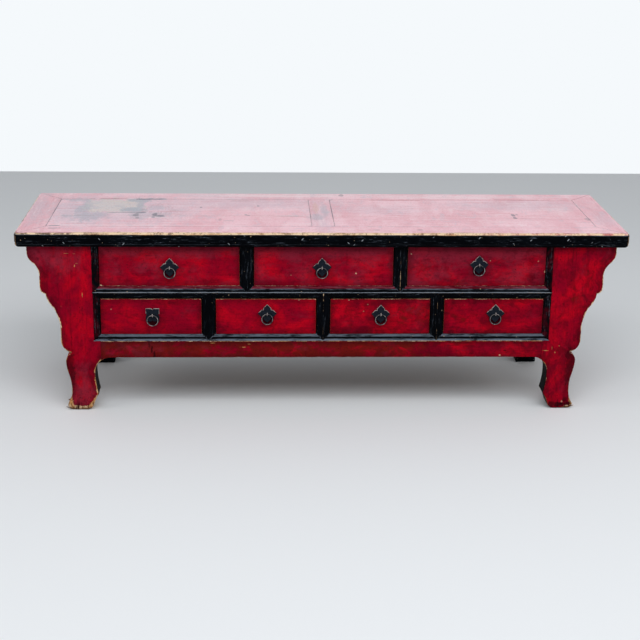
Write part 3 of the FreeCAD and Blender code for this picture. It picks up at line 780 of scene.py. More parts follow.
class Blots:
    """Ragged patches on a flat face, each given by its middle and half size on two axes in millimetres."""

    def __init__(self, paint, across, along, wander, ragged):
        self.paint = paint
        self.places = across, along
        self.sway = [paint.part(wander, axis).swing(2.2) for axis in (X, Y)]
        self.ragged = ragged.swing(3)

    def offsets(self, middle, half):
        """How far a point is from a middle on the two axes, in half sizes."""
        return [(place - centre * MM) / (size * MM) for place, centre, size in zip(self.places, middle, half)]

    def one(self, middle, half, soft=0.4, power=2):
        """1 inside a patch, 0 outside, fading over its border by the softness."""
        away = self.ragged * (1 - soft / 2)
        for offset, sway in zip(self.offsets(middle, half), self.sway):
            away = away + abs(offset + sway) ** power
        return away.step(0.85 + soft, 0.85 - soft)

    def all(self, patches, soft=0.4):
        """The strongest of several patches, each with its depth."""
        shown = None
        for across, along, half_across, half_along, depth in patches:
            patch = self.one((across, along), (half_across, half_along), soft) * depth
            shown = self.paint.larger(shown, patch) if shown else patch
        return shown


def post_line():
    """Where the black line of the front posts runs: its two sides across, and the height of its foot."""
    to_ridge = 0.73
    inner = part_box("leg_front_right")[0].x
    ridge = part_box("front_middle_rail")[1].x
    return inner, inner + (ridge - inner) * to_ridge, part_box("front_apron")[1].z


def chips(paint, place, scale, share):
    """Small flecks, of which only a share of the cells has one."""
    spread = paint.part(paint.cells(place, scale, "Color"), X)
    near = paint.cells(place, scale)
    return near.step(0.24, 0.1) * spread.step(1 - share, 1.02 - share)


def worn_edge(paint, place, reach, ragged_to=1.0, scale=42, loose=4.0):
    """How far a point is inside the rubbed border of an open edge. The piece's wear scales the reach, and
    makes the border more ragged, up to a limit."""
    arris = paint.attribute("arris")
    wear = paint.attribute("wear")
    ragged = paint.cloud(place, scale, 6, 0.7)
    fine = paint.cloud(place, scale * 6, 3, 0.6)
    border = (ragged.swing(loose) + fine.swing(1.2)) * paint.maths("MINIMUM", wear, ragged_to)
    return (wear * 0.55 + border) * reach - arris


# Finishes

# The wood shows bare from this far outside the rubbed border to this far inside it.
BARE_FROM, BARE_TO = -0.3 * MM, 0.5 * MM

# Tone levels of black lacquer: a groove, where the painted sheen is held back as painted shade, begins at one
# and is full at the other, and so for the red lap.
HOLLOW_TONE = 0.62, 0.9
LAP_TONE = 0.36, 0.1

# The rim of the top, the only black that shows slanting strokes, begins at these heights.
RIM_RISE = 0.494, 0.502

# Chips, stains and scratches of the red front: across, up, half width and half height in millimetres, and
# depth of each.
PALE_NICKS = (
    (93, 414.5, 2.4, 2, 1), (74.3, 334.7, 2, 2, 0.8), (251.5, 472.9, 2, 1.8, 0.7),
    (640.9, 419.8, 2, 5, 0.7), (480.2, 453.2, 2, 1.6, 0.5), (620, 451.6, 2, 2, 0.4),
    (520.8, 168.3, 2.4, 2.4, 1), (-652, 386, 8, 1.6, 0.6), (714, 22, 2.5, 3, 0.5), (745, 22, 6, 4, 0.9),
    (742, 40, 2, 6, 0.7), (728, 8, 7, 3, 0.8),
)

DARK_NICKS = (
    (-504, 200, 3, 14, 0.6), (-497, 186, 2.8, 15, 0.9), (-490, 171, 3, 13, 0.9), (535.2, 182.3, 5, 3, 0.8),
    (-360, 252, 12, 6, 0.4), (300, 410, 14, 4, 0.4), (600, 405, 16, 12, 0.4), (705, 13, 18, 8, 0.95),
    (736, 14, 12, 7, 0.9), (722, 28, 6, 8, 0.6), (-600, 190, 20, 12, 0.35), (-737, 148, 17, 38, 0.68),
    (-729, 105, 9, 36, 0.66), (681, 11, 9, 11, 0.85), (732, 150, 17, 42, 0.6), (727.5, 105, 10, 36, 0.58),
)

SCRATCHES = (
    (-710.3, 439.3, 1.4, 5, 0.9), (-704, 446, 4, 1.3, 0.3), (-691.5, 354, 1.3, 8, 0.9),
    (-230.3, 193.8, 9, 1.4, 0.8), (-215, 203, 6, 1.2, 0.6), (657, 182, 9, 1.4, 0.9),
    (674.5, 189.8, 1.4, 6, 0.35), (695, 196, 2, 1.8, 0.6), (684, 176, 2, 3, 0.6),
    (-733, 475.6, 8, 1.1, 0.45), (-711, 474.4, 5, 1, 0.35), (-340, 236, 3, 1.4, 0.6),
    (-320, 207, 8, 1.4, 0.7),
)


def red_lacquer(colours):
    """Old red lacquer: mottled, dull in patches, darker by the edges from grime and painted shade, nearly
    black in a painted shadow inside each ring, and chipped. A black line runs down the inner edge of each
    front post."""
    paint = Paint(bpy.data.materials.new("red_lacquer_worn"))
    place = paint.place()
    grain = paint.attribute("grain", "Vector")
    arris, seam, mark = (paint.attribute(name) for name in ("arris", "seam", "mark"))
    tone, dull = (paint.attribute(name) for name in ("tone", "dull"))
    across, rise = paint.part(place, X), paint.part(place, Z)
    broad = paint.streaks(grain, 1.5, 9, 5, 0.58, 0.5)
    patch = paint.streaks(grain, 1.4, 25, 6, 0.66, 0.7)
    brushed = paint.streaks(grain, 14, 13, 6, 0.7)
    grit = paint.streaks(grain, 1.5, 130, 5, 0.78)
    dust = paint.streaks(grain, 1.6, 12, 7, 0.7, 0.2)
    speckle = paint.cloud(grain, 60, 5, 0.7)
    aged = (paint.maths("MINIMUM", tone, 0.5) - 0.42) * 1.2
    stain = tone + patch.swing(1.3) + broad.swing(0.9) - 0.1
    hazy = dust + dull.swing(0.45) + grit.swing(0.35)
    # Darker near the open edges: dirt, and painted shade in the gaps round the drawers
    dirt_and_shade_reach = (patch * 36 + 3) * MM
    edge_dirt_and_shade = (arris / dirt_and_shade_reach).step(1.2, 0.05)
    joint = (seam / dirt_and_shade_reach).step(0.8, 0.05)
    # Nearly black round a point inside each ring: a painted shadow of the plate and ring, with some hand
    # grime
    ring_shadow_and_grime = (mark + patch.swing(22 * MM)).step(23 * MM, 15 * MM)
    stained = (mark + patch.swing(60 * MM)).step(50 * MM, 20 * MM)
    pits = chips(paint, place, 110, 0.06)
    flakes = chips(paint, place, 85, 0.012)
    front = paint.part(paint.facing(), Y).step(-0.5, -0.8)
    blots = Blots(paint, across, rise, paint.cloud(place, 90, 4, 0.6, output="Color"), grit)
    nicks = blots.all(PALE_NICKS) * front
    inner, outer, sill = post_line()
    line = (abs(across).step(inner - MM, inner - 0.5 * MM) * rise.step(sill - MM, sill)
            * (abs(across) + patch.swing(6 * MM)).step(outer + 0.4 * MM, outer - 0.4 * MM))
    black_line = paint.coats(
        colours.black,
        (colours.painted_sheen_and_scuffs, (brushed + grit.swing(0.5)).step(0.55, 0.7) * 0.4),
        (colours.deep_red, patch.step(0.46, 0.68) * 0.5),
    )
    cracks = paint.cloud(paint.stretched(place, 1, 1, 0.2), 130, 4, 0.7, 0.6)
    split = cracks.step(0.51, 0.58) * rise.step(40 * MM, 8 * MM)
    bare = worn_edge(paint, place, 3 * MM, 4, loose=2.8).step(BARE_FROM, BARE_TO)
    wood = paint.coats(
        colours.tan,
        (colours.cream, paint.larger(patch.step(0.45, 0.62), rise.step(0.2, 0.24))),
        (colours.dark_wood, grit.step(0.46, 0.66) * 0.75),
        (colours.dark_wood, (rise + patch.swing(16 * MM)).step(14 * MM, 3 * MM) * 0.85),
    )
    skin = paint.coats(
        colours.red,
        (colours.bright_red, broad.step(0.38, 0.66)),
        (colours.deep_red, (patch + aged).step(0.44, 0.7) * 0.6),
        (colours.deep_red, brushed.step(0.46, 0.66) * 0.3),
        (colours.brown_red, stain.step(0.5, 0.85) * 0.9),
        (colours.red_haze, hazy.step(0.44, 0.74) * 0.62),
        (colours.grime_and_shade, grit.step(0.5, 0.72) * 0.55),
        (colours.deep_red, speckle.step(0.5, 0.66) * 0.4),
        # painted shade and dirt by the open edges, and dark joints
        (colours.grime_and_shade, edge_dirt_and_shade * 0.36 + joint * 0.22),
        (colours.grime_and_shade, stained * 0.3),
        # painted shadow inside the ring, with hand grime
        (colours.grime_and_shade, ring_shadow_and_grime * 0.94),
        (colours.grime_and_shade, pits * 0.7),
        (colours.cream, flakes * 0.5),
        (colours.grime_and_shade, blots.all(DARK_NICKS) * front * 0.85),
        (colours.cream, nicks * 0.6),
        (colours.tan, blots.all(SCRATCHES) * front * 0.7),
        (black_line, line),
        (wood, bare * 0.92),
        (colours.grime_and_shade, split * 0.9),
    )
    gloss = 0.42 + patch * 0.2 + bare * 0.25 + edge_dirt_and_shade * 0.08
    height = (brushed * 0.4 + grit * 0.2 + patch * 0.4 - bare * 0.9 - flakes * 0.8 - nicks * 0.8 - pits * 0.6
              - split)
    paint.surface({"Base Color": skin, "Roughness": gloss, "Normal": paint.bump(height, 0.6 * MM, 0.55),
                   "Specular IOR Level": 0.03})


# Washes, stains and marks of the top: across, to the back, half length and half breadth in millimetres, and
# depth of each.
LILAC_WASHES = (
    (-720, 20, 100, 190, 0.95), (-560, 30, 200, 170, 0.75), (-260, 115, 320, 80, 0.6),
    (600, 100, 220, 70, 0.5), (180, 40, 130, 60, 0.35), (0, -20, 40, 200, 0.5), (-848, 50, 24, 170, 0.8),
    (840, -70, 30, 100, 0.45), (-350, 220, 100, 25, 0.6),
)

ROSY_WASHES = (
    (500, -60, 330, 60, 0.7), (-200, -50, 280, 70, 0.5), (-680, -215, 180, 35, 0.9),
    (-780, 200, 70, 35, 0.7), (190, 195, 50, 18, 0.8), (300, -200, 400, 40, 0.5), (-560, 200, 100, 20, 0.4),
    (-835, 0, 40, 260, 1), (835, 50, 35, 200, 0.6),
)

PALE_WASHES = (
    (-100, 225, 250, 25, 0.8), (400, 215, 300, 25, 0.6), (-600, -158, 190, 7, 0.7),
    (-320, -160, 120, 6, 0.4), (720, 40, 40, 60, 0.4), (-80, -37, 50, 6, 0.6),
)

SLATE_STAINS = (
    (-565, 30, 35, 30, 1), (-550, 155, 45, 28, 0.9), (-710, 60, 25, 90, 0.7), (-690, -50, 60, 60, 0.7),
    (-15, -56, 22, 40, 0.6), (-485, 170, 20, 10, 0.9), (-740, 155, 50, 20, 0.6), (-546, 80, 13, 100, 0.8),
    (-545, -40, 30, 60, 0.5), (-490, -40, 45, 40, 0.4), (12, 40, 12, 100, 0.45), (-490, 60, 30, 30, 0.4),
)

DARK_MARKS = (
    (-525, 172, 60, 8, 1), (-590, -5, 62, 4.5, 0.75), (-536, -6, 14, 9, 0.9), (-550, -35, 10, 22, 0.7),
    (-543, -70, 6, 16, 0.6), (-494, -30, 8, 20, 0.9), (-478, -48, 16, 12, 0.9), (-497, -62, 6, 12, 0.7),
    (-772, -166, 18, 5, 0.95), (-361, 63, 4.5, 9, 0.6), (-189, 82, 3.5, 16, 0.45), (-225, -28, 5, 8, 0.5),
    (-217, -38, 6, 6, 0.6), (-272, -104, 20, 6, 0.3), (-300, -90, 5, 14, 0.3), (576, -30, 6, 18, 0.8),
    (588, -22, 4, 8, 0.6), (578, -63, 8, 11, 0.8), (278, -208, 12, 8, 0.4), (790, -75, 9, 20, 0.45),
    (74, 230, 9, 16, 0.6), (-88, -45.5, 44, 3.5, 0.6), (-770, -195, 20, 12, 0.35), (150, -210, 12, 6, 0.3),
)

RED_LINES = (
    (-633, 175.5, 66, 5, 0.9), (240, 168.5, 100, 6, 0.85), (620, 173.5, 95, 5, 0.8),
    (450, 172.5, 140, 4, 0.65), (-240, 150, 45, 7, 0.4), (-700, -245, 140, 4, 0.6),
)

# The worn patch, a tan streak on the middle rail and the mark of a round foot: middle and half size of each
# in millimetres.
WORN_PATCH = (-622, 90), (85, 88)
TAN_STREAK = (-13, 60), (9, 70)
RING_MARK = (-486, 38), (34, 50)

# The ends of the top begin here across, and the seam with red dirt here across and to the back.
ENDS_FROM = 0.792, 0.798
RED_SEAM_X = 0.06, 0.14
RED_SEAM_Y = 0.13, 0.16


def top_lacquer(colours):
    """The lacquer of the top, bleached and paled further by painted glare, with its worn patch, stains, marks
    and rubbed front edge.
    """
    paint = Paint(bpy.data.materials.new("top_lacquer_worn"))
    place = paint.place()
    grain = paint.attribute("grain", "Vector")
    x, y = paint.part(place, X), paint.part(place, Y)
    blotched = paint.stretched(place, 1, 0.4, 1)
    broad = paint.cloud(blotched, 9, 6, 0.62, 0.5)
    drift = paint.cloud(paint.stretched(place, 1, 0.5, 1), 30, 7, 0.7, 0.6)
    streak = paint.streaks(grain, 8, 8, 6, 0.74)
    long_streak = paint.streaks(grain, 15, 5, 6, 0.72, 0.3)
    fine = paint.cloud(blotched, 200, 5, 0.78)
    blots = Blots(paint, x, y, paint.cloud(blotched, 40, 6, 0.7, output="Color"), drift)
    patch = blots.one(*WORN_PATCH, 0.6, 4)
    worn = paint.coats(
        colours.beige,
        (colours.cream, streak.step(0.46, 0.64) * 0.3),
        (colours.slate, drift.step(0.5, 0.68) * 0.5),
    )
    aside, behind = blots.offsets(*RING_MARK)
    ring = abs((aside ** 2 + behind ** 2) ** 0.5 - 1 + drift.swing(3.5))
    ringed = ring.step(0.5, 0.05) * fine.step(0.42, 0.58)
    on_ends = abs(x).step(*ENDS_FROM) * x.step(1.6, -1.2)
    marks = blots.all(DARK_MARKS)
    red_line = paint.mixed(colours.rosewood, colours.top_red, x.step(-0.1, 0.2) * 0.75)
    open_seam = paint.attribute("seam").step(2.4 * MM, 0.5 * MM)
    broken = paint.cloud(blotched, 16, 5, 0.65).step(0.44, 0.6)
    reddened = x.step(*RED_SEAM_X) * y.step(*RED_SEAM_Y)
    seam_dirt = paint.mixed(colours.smudge, red_line, reddened * 0.85)
    inside = worn_edge(paint, place, 5 * MM, 1, 22)
    bare = inside.step(BARE_FROM, BARE_TO)
    near_ends = abs(x).step(0.1, 0.7) * 0.7 + 0.2
    fringe = inside.step(-6 * MM, -1 * MM) * y.step(-0.2, -0.23) * near_ends
    chewed = x.step(-0.58, -0.78) * (drift + streak.swing(0.8)).step(0.42, 0.54)
    wood = paint.coats(
        colours.cream,
        (colours.tan, (streak + drift.swing(0.8)).step(0.46, 0.66) * 0.8),
        (colours.dark_wood, (fine + drift.swing(0.8)).step(0.49, 0.67) * 0.8),
        (colours.dark_wood, chewed * 0.8),
        (colours.top_red, x.step(0.2, 0.8) * drift.step(0.42, 0.6) * 0.6),
    )
    skin = paint.coats(
        colours.faded_red_and_glare,
        (colours.rose, broad.step(0.34, 0.58)),
        (colours.faded_red_and_glare, blots.all(ROSY_WASHES, 1.2) * 0.7),
        (colours.lilac, blots.all(LILAC_WASHES, 1.2)),
        (colours.bleached, blots.all(PALE_WASHES, 0.9) * 0.8),
        (colours.bleached, drift.step(0.52, 0.72) * 0.45),
        (colours.lilac, drift.step(0.48, 0.3) * 0.55),
        (colours.top_red, streak.step(0.53, 0.72) * 0.45),
        (colours.top_red, long_streak.step(0.52, 0.7) * 0.38),
        (colours.bleached, long_streak.step(0.46, 0.3) * 0.6),
        (worn, patch * 0.9),
        (colours.slate, blots.all(SLATE_STAINS, 0.7) * 0.8),
        (colours.rosewood, ringed * 0.28),
        (colours.tan, blots.one(*TAN_STREAK) * 0.25),
        (colours.top_red, fine.step(0.52, 0.7) * 0.5),
        (colours.bleached, fine.step(0.46, 0.3) * 0.6),
        (colours.rosewood, on_ends * 0.14),
        (red_line, blots.all(RED_LINES)),
        (colours.smudge, marks * 0.85),
        (seam_dirt, open_seam * (broken * 0.5 + 0.3)),
        (colours.rosewood, fringe * drift.step(0.44, 0.58)),
        (wood, bare),
    )
    gloss = 0.34 + broad * 0.2 + bare * 0.2
    height = streak * 0.5 + fine * 0.35 - marks * 0.6 - bare * 0.4
    paint.surface({"Base Color": skin, "Roughness": gloss, "Normal": paint.bump(height, 0.4 * MM, 0.4),
                   "Specular IOR Level": 0.45, "Coat Weight": 0.12, "Coat Roughness": 0.3})


def black_lacquer(colours):
    """Black lacquer: a painted sheen, partly dust, where it faces up, bluish patches of painted sheen,
    scratches, and a painted highlight, partly rubbing, along its upward ridges. A high tone is a groove,
    where the painted sheen is held back as painted shade, and a low one the red of the drawers where it laps
    over a rail."""
    paint = Paint(bpy.data.materials.new("black_lacquer_worn"))
    place = paint.place()
    grain = paint.attribute("grain", "Vector")
    arris, wear, dull, tone = (paint.attribute(name) for name in ("arris", "wear", "dull", "tone"))
    x, y, z = (paint.part(place, axis) for axis in (X, Y, Z))
    broad = paint.streaks(grain, 2, 13, 5, 0.62)
    scuffs = paint.streaks(grain, 9, 30, 6, 0.74, 0.4)
    fine = paint.cloud(place, 300, 3, 0.6)
    hollow = tone.step(*HOLLOW_TONE)
    lap = tone.step(*LAP_TONE)
    lapped = paint.mixed(colours.deep_red, colours.red_haze, scuffs.step(0.42, 0.6) * 0.5)
    ridge = arris.step(3.5 * MM, 0.8 * MM) * (1 - lap)
    upper = paint.part(paint.facing(), Z).step(0.2, 0.5)
    level = broad + scuffs.swing(2.4) + (dull - 0.5) + (ridge - 0.6) * 0.4
    # Where the black faces up it gets a painted sheen of the light from above, partly dust, held back in the
    # groove as painted shade
    painted_sheen_and_dust = upper * level.step(0.12, 0.6) * (1 - hollow * 0.7)
    scratches = scuffs.step(0.57, 0.68) * broad.step(0.36, 0.56)
    rising = chips(paint, paint.joined((x + z) * 1.3, y, (x - z) * 0.35), 90, 0.09)
    falling = chips(paint, paint.joined((x - z) * 1.3, y, (x + z) * 0.4), 80, 0.08)
    strokes = paint.larger(rising, falling) * z.step(*RIM_RISE)
    flakes = paint.larger(chips(paint, place, 110, 0.035), chips(paint, place, 190, 0.05))
    inside = worn_edge(paint, place, 1.3 * MM, 1, 30)
    bare = inside.step(BARE_FROM, BARE_TO)
    browned = inside.step(-3 * MM, BARE_FROM) * wear.step(1, 3)
    wood = paint.coats(
        colours.cream,
        (colours.tan, scuffs.step(0.4, 0.6)),
        (colours.dark_wood, fine.step(0.45, 0.72) * 0.6),
    )
    rubbed = paint.mixed(colours.painted_sheen_and_scuffs, wood, wear.step(0.3, 0.8))
    skin = paint.coats(
        colours.black,
        # bluish patches of painted sheen
        (colours.black_sheen, (broad + scuffs.swing(0.6)).step(0.4, 0.66)),
        (colours.painted_sheen_and_scuffs, painted_sheen_and_dust * 0.75),
        # painted highlight along the ridges that face up
        (colours.painted_highlight_and_scratches, upper * ridge * level.step(0.3, 0.75) * 0.2),
        (lapped, lap * 0.9),
        (colours.painted_sheen_and_scuffs, scratches * dull * 0.7),
        (colours.painted_highlight_and_scratches, strokes * dull * 0.65),
        (colours.cream, flakes * dull * 0.6),
        (colours.dark_wood, browned * 0.6),
        (rubbed, bare * wear.step(0.0, 0.9)),
    )
    gloss = 0.3 + scuffs * 0.2 + bare * 0.25
    height = scuffs * 0.6 + fine * 0.25 + broad * 0.4 - bare * 0.6 - flakes * 0.6
    paint.surface({"Base Color": skin, "Roughness": gloss, "Normal": paint.bump(height, 0.7 * MM, 0.6),
                   "Specular IOR Level": 0.02})


def bare_wood(colours):
    """Old unfinished softwood: grain lines, stains and dust."""
    paint = Paint(bpy.data.materials.new("bare_wood_aged"))
    grain = paint.attribute("grain", "Vector")
    rings = paint.cloud(paint.stretched(grain, 0.7, 22, 22), 5, 5, 0.6, 0.4)
    fibre = paint.streaks(grain, 40, 30, 4, 0.6)
    stain = paint.cloud(grain, 6, 5, 0.6, 0.6)
    skin = paint.coats(
        colours.wood,
        (colours.dark_wood, rings.step(0.4, 0.7) * 0.55),
        (colours.dark_wood, stain.step(0.5, 0.75) * 0.6),
        (colours.tan, fibre.step(0.55, 0.8) * 0.25),
        (colours.tan, paint.attribute("arris").step(2.5 * MM, 0.2 * MM) * 0.3),
    )
    height = rings * 0.5 + fibre * 0.5
    paint.surface({"Base Color": skin, "Roughness": 0.68 + fibre * 0.2,
                   "Normal": paint.bump(height, 0.5 * MM, 0.6), "Specular IOR Level": 0.25})


def wrought_iron(colours):
    """Blue-black iron, with a painted highlight, partly real rubbing, on the upper rims, the fronts of the
    rings and the eyes.
    """
    paint = Paint(bpy.data.materials.new("wrought_iron"))
    place = paint.place()
    mottle = paint.cloud(place, 150, 5, 0.7, 0.4)
    fine = paint.cloud(place, 900, 4, 0.6)
    # painted highlight, partly real rubbing, near the rims and eyes that the gaps pick out
    highlight_and_rub = paint.attribute("arris").step(2.2 * MM, 0.3 * MM) * mottle.step(0.34, 0.56)
    skin = paint.coats(
        colours.iron,
        (colours.black, mottle.step(0.45, 0.7) * 0.7),
        (colours.iron_highlight_and_rub, highlight_and_rub * 0.9),
    )
    height = mottle * 0.6 + fine * 0.3
    paint.surface({"Base Color": skin, "Roughness": 0.45 + mottle * 0.25 - highlight_and_rub * 0.1,
                   "Normal": paint.bump(height, 0.4 * MM, 0.6), "Specular IOR Level": 0.08})


# Pieces

def lift(low, high, number):
    """Share of the way from low to high."""
    return min(1.0, max(0.0, (number - low) / (high - low)))


def groove_rule(axis, middle, half, depth, down=0.5, spread=0.18):
    """A carving rule: a groove down each slope of a ridged piece, at a share of the way from the ridge."""
    def groove(point, normal):
        share = abs(point[axis] - middle) / half
        return depth * math.exp(-((share - down) / spread) ** 2) if normal.y < -0.3 and share < 1 else 0
    return groove


class ALTAR_OT_finishes(bpy.types.Operator):
    """Makes the five finishes of the cabinet"""
    bl_idname = "altar.finishes"
    bl_label = "Finishes"

    def execute(self, context):
        colours = context.scene.altar_colours
        for finish in (red_lacquer, top_lacquer, black_lacquer, bare_wood, wrought_iron):
            finish(colours)
        return {"FINISHED"}


class ALTAR_OT_top(bpy.types.Operator):
    """Makes the top: mitred frame, middle rail, panels and the battens under them"""
    bl_idname = "altar.top"
    bl_label = "Top"

    def execute(self, context):
        sizes = context.scene.altar_wear
        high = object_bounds()[1]
        hip = high - Vector((sizes.corner, sizes.corner, 0))
        rim_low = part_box("top_front_stile")[0].z
        quirk = rim_low + sizes.quirk_rise
        rounding = 13 * MM
        rim_depth = 15 * MM
        seam = SOLIDS["top_right_panel"][0].high.y

        def outer_width(middle, width):
            """Widest along the upper edge, double on the rest of the outside, and sharp under the corners."""
            outside = abs(middle.x) > high.x - MM or abs(middle.y) > high.y - MM
            if outside and middle.z > high.z - MM:
                return sizes.top_arris
            at_corner = high.x - abs(middle.x) < rounding and high.y - abs(middle.y) < rounding
            if at_corner and middle.z < rim_low + rounding:
                return 0
            return width * 2 if outside else width

        def outer_paint(centre, normal):
            if normal.z > 0.5:
                return 0
            return 1 if normal.z > -0.97 else 2

        def rim_wear(point):
            """Most along the front, where it comes and goes and lets up at the left end."""
            if abs(point.x) > hip.x and point.y < -hip.y:
                return 2.0
            if point.z < high.z - rim_depth:
                return 0
            if point.y > 0 or abs(point.x) > hip.x:
                return 1.5
            slow = noise.noise(Vector((point.x * 5, 0.3, 0.7)))
            quick = noise.noise(Vector((point.x * 17, 0.9, 0.2)))
            return 5 + slow * 1.6 + quick - 2 * lift(-0.68, -0.8, point.x)

        def front_corner(spot):
            return abs(spot.x) > high.x - MM and spot.y < -hip.y

        def quirked(point, normal):
            """A shallow line run along the lower part of the edge."""
            share = (point.z - quirk) / sizes.quirk
            return sizes.quirk * 0.6 * math.exp(-share * share) if abs(normal.z) < 0.6 else 0

        def edge_dull(point):
            return 0.7 + 0.2 * lift(0.78, 0.86, abs(point.x))

        def worn_corner(point):
            """A point of the square corners, moved in to where a round one has it."""
            past = Vector((abs(point.x) - hip.x, abs(point.y) - hip.y, 0))
            if min(past.x, past.y) <= 0:
                return point
            past *= max(past.x, past.y) / past.length
            across = math.copysign(hip.x + past.x, point.x)
            return Vector((across, math.copysign(hip.y + past.y, point.y), point.z))

        def flat_paint(centre, normal):
            return 0 if normal.z > 0.3 else 1

        def closed_seam(middle, width):
            return FLUSH / 2 if abs(middle.y - seam) < MM else width

        finishes = ["top_lacquer_worn", "black_lacquer_worn", "bare_wood_aged"]
        for node, grain, slot in (
                ("top_front_stile", X, "black_lacquer"), ("top_rear_stile", X, "black_lacquer"),
                ("top_left_end", Y, "red_lacquer"), ("top_right_end", Y, "red_lacquer")):
            dress(node, finishes,
                  Work(grain, outer_width, rim_wear, outer_paint, (7 * MM, 7 * MM, 1.6 * MM), dents=1.2,
                       carve=quirked, bend=worn_corner, dull=edge_dull, rubbed=front_corner))
        boards = ["top_lacquer_worn", "bare_wood_aged"]
        dress("top_centre_rail", boards, Work(Y, wear=steady(0), paint=flat_paint))
        for node in ("top_left_panel", "top_right_panel"):
            dress(node, boards, Work(X, closed_seam, steady(0), flat_paint))
        dress("top_battens", ["bare_wood_aged"], Work(Y))
        return {"FINISHED"}


# Where the left leg and wing change: out from the post to the wing, up the foot, and under the top.
WING_OUT = -0.72, -0.78
FOOT_DARK = 0.2, 0.08
FOOT_DULL = 0.16, 0.06
WING_TOP = 0.4, 0.48


def side_tone(point):
    """Tone of a front leg and its wing: the left one is brighter along its post and darker at its foot."""
    if point.x > 0:
        return 0.51
    return 0.36 + max(0.18 * lift(*WING_OUT, point.x), 0.2 * lift(*FOOT_DARK, point.z))


def side_dull(point):
    """Dullness of a front leg and its wing: most on the left foot, some on the left wing."""
    if point.x > 0:
        return 0.3
    return (0.26 + 0.55 * lift(*FOOT_DULL, point.z) + 0.2 * lift(*WING_OUT, point.x)
            + 0.35 * lift(*WING_TOP, point.z))


class ALTAR_OT_legs(bpy.types.Operator):
    """Makes the four legs"""
    bl_idname = "altar.legs"
    bl_label = "Legs"

    def execute(self, context):
        sizes = context.scene.altar_wear
        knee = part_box("wing_left")[0].z
        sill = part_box("front_apron")[1].z
        inner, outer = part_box("leg_front_right")[0].x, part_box("wing_right")[0].x
        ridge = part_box("front_middle_rail")[1].x
        bitten = 0.026
        grooves = {side: groove_rule(X, side * inner, ridge - inner, sizes.groove * 0.6) for side in (-1, 1)}

        def foot_width(middle, width):
            if middle.z < MM:
                return sizes.sole
            return width * 1.5 if middle.z < knee and width > sizes.seam else width

        def edge_width(middle, width):
            flush = width <= sizes.seam and abs(middle.x) > outer - MM
            return FLUSH / 2 if flush else foot_width(middle, width)

        def inner_paint(centre, normal):
            return 1 if normal.x * math.copysign(1, centre.x) < -0.6 and centre.z < sill else 0

        def foot_wear(point):
            """Most at the soles, all along the left one and at the outer end of the right one."""
            if point.z > knee:
                return 0.4
            sole = 7 * lift(0.04, 0.01, point.z)
            inward = abs(point.x) < (inner + outer) / 2
            if point.x < 0:
                return (1.9 if inward else 0.8) + sole
            return (0.9 if inward else 0.7) + sole * 0.6 * lift(0.7, 0.735, point.x)

        def chewed(point, normal):
            loss = sizes.chewed * lift(bitten, 0, point.z) * max(0, rough(point, LOSSES))
            return loss + (grooves[math.copysign(1, point.x)](point, normal) if point.z > sill else 0)

        for hand, side in enumerate(("left", "right"), start=1):
            dress(f"leg_front_{side}", ["red_lacquer_worn", "black_lacquer_worn"],
                  Work(Z, edge_width, foot_wear, inner_paint, (5 * MM, 7 * MM, 5 * MM), side_tone,
                       carve=chewed, batch=hand, dull=side_dull))
        for side in ("left", "right"):
            dress(f"leg_rear_{side}", ["black_lacquer_worn"],
                  Work(Z, foot_width, dull=steady(0.18)))
        return {"FINISHED"}


class ALTAR_OT_wings(bpy.types.Operator):
    """Makes the shaped wings outside the front legs"""
    bl_idname = "altar.wings"
    bl_label = "Wings"

    def execute(self, context):
        sizes = context.scene.altar_wear

        def edge_width(middle, width):
            return FLUSH / 2 if width <= sizes.seam else width

        def edge_wear(point):
            return 1.5 - 0.5 * lift(0.36, 0.44, point.z)

        for hand, side in enumerate(("left", "right"), start=1):
            dress(f"wing_{side}", ["red_lacquer_worn"],
                  Work(Z, edge_width, edge_wear, None, (7 * MM,) * 3, side_tone, batch=hand, dull=side_dull))
        return {"FINISHED"}


class ALTAR_OT_front_rails(bpy.types.Operator):
    """Makes the ridged rails and dividers of the front"""
    bl_idname = "altar.front_rails"
    bl_label = "Front rails and dividers"

    def execute(self, context):
        sizes = context.scene.altar_wear
        crown = 5 * MM
        spread = 0.13

        def ridged(node, axis):
            low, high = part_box(node)
            return (low[axis] + high[axis]) / 2, (high[axis] - low[axis]) / 2

        # Each rail's dullness, the wear of its ridge and upper edge, and the shares of the way up from the
        # ridge where its groove runs and where the red laps over it.
        for node, dull, ridge, edge, down, lap in (("front_middle_rail", 0.66, 0.6, 0.3, 0.2, 0.6),
                                                   ("front_bottom_rail", 0.7, 1.0, 0.6, 0.37, 1.0)):
            middle, half = ridged(node, Z)

            def upper_wear(point):
                if abs(point.z - middle) < crown:
                    return ridge
                return edge if point.z > middle else 0.1

            def on_ridge(spot):
                return abs(spot.z - middle) < MM

            def hollow(point):
                """Above the middle level in the groove, where the painted sheen is held back as painted
                shade, below it where the drawers' red laps over.
                """
                share = (point.z - middle) / half
                if share > lap:
                    return 0.5 - 0.5 * lift(lap, lap + 0.08, share)
                return 0.5 + 0.5 * math.exp(-((abs(share) - down) / spread) ** 2)

            dress(node, ["black_lacquer_worn"],
                  Work(X, None, upper_wear, None, (8 * MM, 8 * MM, 1.2 * MM), hollow,
                       carve=groove_rule(Z, middle, half, sizes.groove, down, spread), dull=steady(dull),
                       rubbed=on_ridge))
        for node, wear in (("upper_divider_1", 0.35), ("upper_divider_2", 0.7), ("lower_divider_1", 0.35),
                           ("lower_divider_2", 0.8), ("lower_divider_3", 0.7)):
            middle, half = ridged(node, X)

            def ridge_wear(point):
                return wear if abs(point.x - middle) < crown else 0.2

            dress(node, ["black_lacquer_worn"],
                  Work(Z, None, ridge_wear, None, (2 * MM, 8 * MM, 6 * MM),
                       carve=groove_rule(X, middle, half, sizes.groove * 0.6), dull=steady(0.45)))
        return {"FINISHED"}


